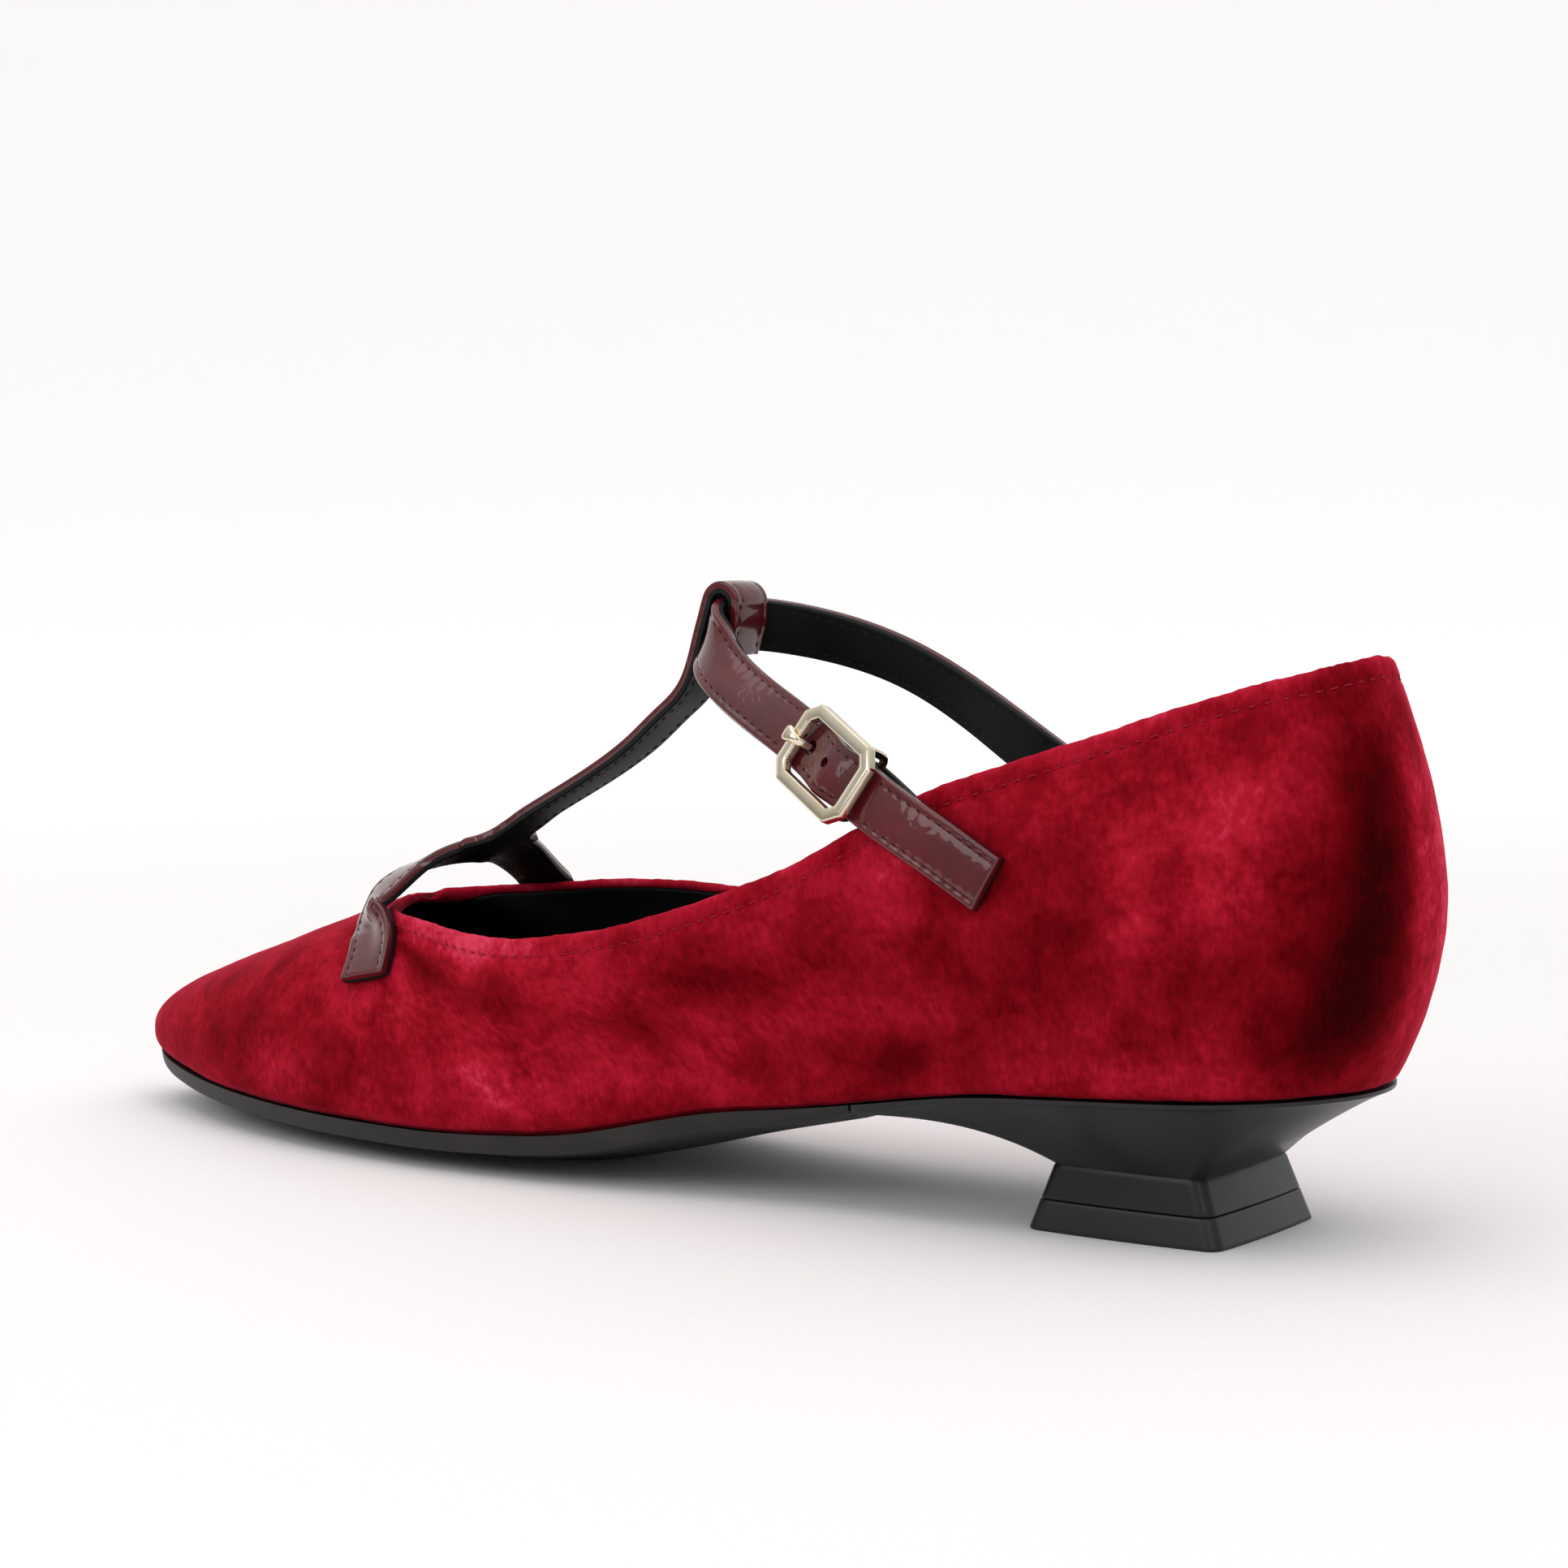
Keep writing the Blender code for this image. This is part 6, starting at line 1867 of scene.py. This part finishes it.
def feet(points: np.ndarray, surface: np.ndarray, normals: np.ndarray) -> tuple:
    """Feet of places on a surface: the plane of the nearest of its own places.

    Args:
        points: places, rows by columns.
        surface: places of the surface, rows by columns.
        normals: its normals.
    Returns:
        Feet, heights over the surface, numbers of the nearest places and distances to them.
    """
    shape = points.shape[:2]
    flat = points.reshape(-1, 3)
    base = surface.reshape(-1, 3)
    look = normals.reshape(-1, 3)
    nearest = np.concatenate([((some[:, None] - base[None]) ** 2).sum(axis=2).argmin(axis=1)
                              for some in np.array_split(flat, max(1, len(flat) // 300))])
    height = ((flat - base[nearest]) * look[nearest]).sum(axis=1)
    foot = flat - height[:, None] * look[nearest]
    apart = np.linalg.norm(flat - base[nearest], axis=1)
    return foot.reshape(*shape, 3), height.reshape(shape), nearest.reshape(shape), apart.reshape(shape)


def facing(points: np.ndarray, like: np.ndarray) -> np.ndarray:
    """Normals of a grid of places, turned to the same side as the given ones."""
    normal = unit(np.cross(np.gradient(points, axis=0), np.gradient(points, axis=1)))
    return normal * np.sign((normal * like).sum(axis=-1, keepdims=True))


def punch(piece: bpy.types.Object, rings: np.ndarray, count: int) -> None:
    """Cut a round hole through a piece with an exact Boolean of a prism.

    Args:
        piece: the piece to cut.
        rings: the prism's two rings, one after the other.
        count: points in each ring.
    """
    mesh = mesh_from("punch", rings, ring_faces(2, count))
    turn_outwards(mesh)
    tool = linked("punch", mesh)
    cut = piece.modifiers.new("hole", "BOOLEAN")
    cut.object = tool
    cut.operation = "DIFFERENCE"
    cut.solver = "EXACT"
    bpy.context.view_layer.update()
    shape = bpy.data.meshes.new_from_object(piece.evaluated_get(bpy.context.evaluated_depsgraph_get()))
    piece.modifiers.clear()
    piece.data = shape
    bpy.data.objects.remove(tool, do_unlink=True)


@dataclass
class Buckle:
    """Octagonal frame with its hinge bar, the prong, and the chape that holds them."""

    last: Last
    finish: Finishes
    straps: Straps
    length: float = BUCKLE_LENGTH
    width: float = 0.0142
    bar: float = BUCKLE_BAR
    thick: float = 0.0017
    chamfer: float = 0.0026
    hinge: float = 0.0014
    prong: float = 0.0012
    bevel: float = 0.38 * MM

    def __post_init__(self) -> None:
        """Levels over the strap's middle, from the strap's thickness and the fit gap."""
        gap = self.last.gap
        half = 0.5 * self.straps.thick
        self.low = half + 2.0 * gap
        self.depth = -(half + 2.5 * gap + self.straps.chape_thick + 0.5 * self.hinge)
        self.hinge_at = 0.25 * (self.length - self.bar)
        self.under = -(half + gap + 0.5 * self.prong)
        self.over = self.low + self.thick + gap + 0.4 * self.prong

    def octagon(self, inset: float, corner: float = 0.35 * MM, steps: int = 5) -> np.ndarray:
        """Octagon moved in by inset, each corner an arc between its two sides.

        Args:
            inset: distance inwards.
            corner: length of a corner's arc.
            steps: points in each arc.
        Returns:
            Places in plan.
        """
        a = 0.5 * self.length - inset
        b = 0.5 * self.width - inset
        c = self.chamfer - inset * (2.0 - math.sqrt(2.0))
        knots = np.array([(a, b - c), (a - c, b), (c - a, b), (-a, b - c),
                          (-a, c - b), (c - a, -b), (a - c, -b), (a, c - b)])
        before = unit(np.roll(knots, 1, axis=0) - knots)
        after = unit(np.roll(knots, -1, axis=0) - knots)
        t = np.linspace(0.0, 1.0, steps)[None, :, None]
        start = (knots + corner * before)[:, None]
        end = (knots + corner * after)[:, None]
        return ((1 - t) ** 2 * start + 2 * (1 - t) * t * knots[:, None] + t ** 2 * end).reshape(-1, 2)

    def build(self) -> None:
        """Make frame, hinge bar, prong and chape."""
        self.build_frame()
        self.build_hinge()
        self.build_prong()
        self.build_chape()

    def build_frame(self) -> None:
        """Frame: octagons at the places of a bar's bevelled section, joined all round."""
        e = self.bevel
        section = [(0.0, 0.25 * MM), (0.0, self.thick - e), (0.35 * e, self.thick - 0.3 * e), (e, self.thick),
                   (0.5 * self.bar, self.thick + 0.05 * MM), (self.bar - e, self.thick),
                   (self.bar - 0.35 * e, self.thick - 0.3 * e), (self.bar, self.thick - e),
                   (self.bar, 0.25 * MM), (self.bar - 0.25 * MM, 0.0), (0.25 * MM, 0.0)]
        rings = []
        for inset, level in section:
            plan = self.octagon(inset)
            rings.append(np.column_stack([plan, np.full(len(plan), self.low + level)]))
        points = self.straps.in_buckle(np.array(rings + rings[:1]))
        rows, columns = points.shape[:2]
        make_piece("buckle_frame_plated", self.last.world(points.reshape(-1, 3)),
                   ring_faces(rows, columns, start=False, end=False), self.finish.gold,
                   ("buckle_frame",), sharp=28.0)

    def tube(self, knots: list, widths: np.ndarray, heights: np.ndarray, count: int,
             sides: int = 16) -> np.ndarray:
        """Rings of a soft-cornered bar in buckle coordinates: superellipses along a smooth path.

        Args:
            knots: places of the bar's middle line.
            widths: half widths.
            heights: half heights.
            count: how many rings.
            sides: points in each ring.
        Returns:
            Rings, count by sides.
        """
        table = np.column_stack([knots, widths, heights])
        at = np.linspace(0.0, len(table) - 1, count)
        dense = spline_open(table, at, knot_gaps(table))
        path = dense[:, :3]
        tangent = unit(np.gradient(path, axis=0))
        side = np.tile(np.array([0.0, 1.0, 0.0]), (count, 1))
        look = np.cross(tangent, side)
        turn = 2.0 * math.pi * np.arange(sides) / sides
        c = np.sign(np.cos(turn)) * np.abs(np.cos(turn)) ** 0.75
        s = np.sign(np.sin(turn)) * np.abs(np.sin(turn)) ** 0.75
        return (path[:, None] + (dense[:, 3:4] * c[None])[..., None] * side[:, None]
                + (dense[:, 4:5] * s[None])[..., None] * look[:, None])

    def build_hinge(self) -> None:
        """Hinge bar under the strap between two lugs that drop from the frame's long sides."""
        span = 0.5 * self.straps.width + 2.0 * self.last.gap + 0.5 * self.hinge
        sink = self.low + 0.4 * self.thick
        knots = [(self.hinge_at, -span, sink), (self.hinge_at, -span, 0.35 * self.depth),
                 (self.hinge_at, -span + 0.25 * MM, 0.85 * self.depth),
                 (self.hinge_at, -span + 1.0 * MM, self.depth), (self.hinge_at, 0.0, self.depth),
                 (self.hinge_at, span - 1.0 * MM, self.depth),
                 (self.hinge_at, span - 0.25 * MM, 0.85 * self.depth),
                 (self.hinge_at, span, 0.35 * self.depth), (self.hinge_at, span, sink)]
        knots = np.array(knots)
        dense = spline_open(knots, np.linspace(0.0, len(knots) - 1, 70), knot_gaps(knots))
        tangent = unit(np.gradient(dense, axis=0))
        first = np.tile(np.array([1.0, 0.0, 0.0]), (len(dense), 1))
        second = np.cross(tangent, first)
        turn = 2.0 * math.pi * np.arange(14) / 14
        spoke = np.cos(turn)[None, :, None] * first[:, None] + np.sin(turn)[None, :, None] * second[:, None]
        self.capped("hinge_bar_plated", dense[:, None] + 0.5 * self.hinge * spoke, ())

    def capped(self, name: str, rings: np.ndarray, replaced: tuple) -> None:
        """Skin over rings in buckle coordinates, closed at both ends.

        Args:
            name: the piece's name.
            rings: rings of points, one after the other.
            replaced: CAD nodes that it stands for.
        """
        rows, columns = rings.shape[:2]
        points = self.last.world(self.straps.in_buckle(rings.reshape(-1, 3)))
        make_piece(name, points, ring_faces(rows, columns), self.finish.gold, replaced, sharp=50.0)

    def build_prong(self) -> None:
        """Prong: an eye round the hinge bar, a shank, and a flat pad over the frame's far bar."""
        eye = 0.5 * self.hinge + self.last.gap + 0.5 * self.prong
        turn = np.radians(np.arange(20.0, -231.0, -25.0))
        path = [(self.hinge_at + eye * math.cos(a), 0.0, self.depth + eye * math.sin(a)) for a in turn]
        start = path[-1]
        half = 0.5 * self.prong
        h = HOLE_AT
        path += [(start[0] - 0.35 * (start[0] - h), 0.0, self.under), (h + 1.8 * half, 0.0, self.under),
                 (h + 0.7 * half, 0.0, 0.5 * self.under), (h - 0.2 * half, 0.0, self.low),
                 (h - 1.2 * half, 0.0, 0.85 * self.over), (h - 3.0 * half, 0.0, self.over),
                 (-0.5 * self.length + 0.9 * MM, 0.0, self.over),
                 (-0.5 * self.length + 0.1 * MM, 0.0, self.over),
                 (-0.5 * self.length - 0.5 * MM, 0.0, self.over - 0.12 * MM)]
        count = len(path)
        widths = np.full(count, half)
        heights = np.full(count, half)
        widths[-5:] = np.array([0.75, 0.95, 1.30, 1.32, 1.05]) * MM
        heights[-5:] = np.array([0.60, 0.55, 0.55, 0.50, 0.25]) * MM
        self.capped("prong_plated", self.tube(path, widths, heights, 150), ("buckle_prong",))

    def build_chape(self) -> None:
        """Chape: a thin black strap from inside the wall that folds round the hinge bar."""
        straps = self.straps
        radius = 0.5 * self.hinge + self.last.gap + 0.5 * straps.chape_thick
        turn = np.radians(np.arange(60.0, 271.0, 30.0))
        local = np.column_stack([self.hinge_at + radius * np.cos(turn), 0.0 * turn,
                                 self.depth + radius * np.sin(turn)])
        fold = straps.in_buckle(local)
        looks = fold - straps.in_buckle(np.array([[self.hinge_at, 0.0, self.depth]]))
        lying, wall_looks = straps.on_wall(CHAPE_IN_WALL, Side.LATERAL, straps.chape_thick, inside=True)
        knots = np.vstack([fold, lying])
        looks = unit(np.vstack([looks, -wall_looks]))
        half = 0.5 * straps.chape_width
        rounding = 0.3 * MM
        sheet = straps.plain_sheet(knots, looks, half, 0.5 * MM, rounding)
        top = 0.5 * straps.chape_thick
        drop = eased(sheet.edge, rounding)
        points, faces = sheet.slab(top - drop, -top + drop)
        make_piece("chape_leather", self.last.world(points), faces, self.finish.lining,
                   ("buckle_strap",), sharp=55.0)


@dataclass(frozen=True)
class Studio:
    """Pale floor that curves up behind, even white light, two soft panels, a strip and the camera."""

    eye: tuple = (0.34197, -0.47541, 0.107)
    aim: tuple = (0.016, 0.0, 0.066)
    lens: float = 79.0
    exposure: float = -0.4
    floor: str = "#F7F5F5"
    white: tuple = (1.0, 0.992, 0.992, 1.0)
    panels: tuple = (("panel_top", (-0.1, -0.2, 1.3), (1.1, 1.1), 5.0),
                     ("panel_side", (-0.2, -1.2, 0.7), (1.2, 0.5), 4.6),
                     ("strip_back", (0.9, -0.5, 0.75), (0.10, 1.2), 1.8))

    def build(self) -> None:
        """Make floor, world, lights and camera."""
        self.build_floor()
        self.build_lights()
        camera = linked("camera", bpy.data.cameras.new("camera"))
        camera.data.lens = self.lens
        camera.data.sensor_width = 36.0
        camera.location = self.eye
        way = Vector(self.aim) - Vector(self.eye)
        camera.rotation_euler = way.to_track_quat("-Z", "Y").to_euler()
        bpy.context.scene.camera = camera
        view = bpy.context.scene.view_settings
        view.view_transform = "Standard"
        view.exposure = self.exposure

    def build_floor(self) -> None:
        """Sweep: a flat floor, a quarter round and a wall, as a profile drawn across."""
        turn = np.linspace(0.0, math.pi / 2, 24)
        radius, back, width, rise = 1.2, 2.2, 12.0, 6.0
        profile = np.vstack([[(-12.0, 0.0)], [(back, 0.0)],
                             np.column_stack([back + radius * np.sin(turn), radius * (1 - np.cos(turn))]),
                             [(back + radius, rise)]])
        across = np.linspace(-width, width, 3)
        grid = np.array([[(x, y, z) for y, z in profile] for x in across])
        turned = math.radians(30.0)
        c, s = math.cos(turned), math.sin(turned)
        grid = np.stack([grid[..., 0] * c - grid[..., 1] * s, grid[..., 0] * s + grid[..., 1] * c,
                         grid[..., 2]], axis=-1)
        mesh = mesh_from("floor", grid.reshape(-1, 3), [grid_quads(*grid.shape[:2])[:, ::-1]])
        mesh.shade_smooth()
        material, tree, shader = blank("studio sweep, matte paper")
        fibre = add(tree, "TexNoise", {"Vector": millimetres(tree), "Scale": 0.8, "Detail": 3.0})
        ramp = add(tree, "ValToRGB", {"Fac": fibre}, stops=((0.2, self.floor), (0.8, "#FBF9F9")))
        place = add(tree, "TexCoord").outputs["Object"]
        far = add(tree, "VectorMath", {0: place}, operation="LENGTH").outputs["Value"]
        lit = add(tree, "MapRange", {"Value": far, "From Min": 0.2, "From Max": 1.3, "To Max": 0.34},
                  interpolation_type="SMOOTHSTEP")
        feed(shader, {"Base Color": ramp, "Emission Strength": lit, "Emission Color": (1.0, 1.0, 1.0, 1.0),
                      "Roughness": 0.9, "Specular IOR Level": 0.1})
        mesh.materials.append(material)
        floor = linked("floor", mesh)

    def build_lights(self) -> None:
        """White surroundings, large soft panels above in front and at the side, and a strip behind."""
        world = bpy.data.worlds.new("studio")
        world.use_nodes = True
        tree = world.node_tree
        way = add(tree, "SeparateXYZ", {0: add(tree, "TexCoord").outputs["Generated"]})
        sky = add(tree, "MapRange", {"Value": way.outputs["Z"], "From Max": 0.8, "To Min": 0.32,
                                     "To Max": 1.12})
        feed(tree.nodes["Background"], {"Color": self.white, "Strength": sky})
        bpy.context.scene.world = world
        middle = Vector((0.0, 0.0, 0.04))
        for name, place, size, power in self.panels:
            light = bpy.data.lights.new(name, "AREA")
            light.energy = power
            light.shape = "RECTANGLE"
            light.size, light.size_y = size
            lamp = linked(name, light)
            lamp.location = place
            lamp.rotation_euler = (middle - Vector(place)).to_track_quat("-Z", "Y").to_euler()


def main() -> None:
    """Set up the studio, then build the shoe's pieces in order."""
    logging.basicConfig(level=logging.INFO, format="%(name)s: %(message)s")
    Studio().build()
    last = registered_last()
    finish = Finishes()
    upper = Upper(last, finish)
    upper.build()
    Bottom(last, finish).build()
    straps = Straps(last, finish, upper)
    straps.build()
    Buckle(last, finish, straps).build()


if __name__ == "__main__":
    main()
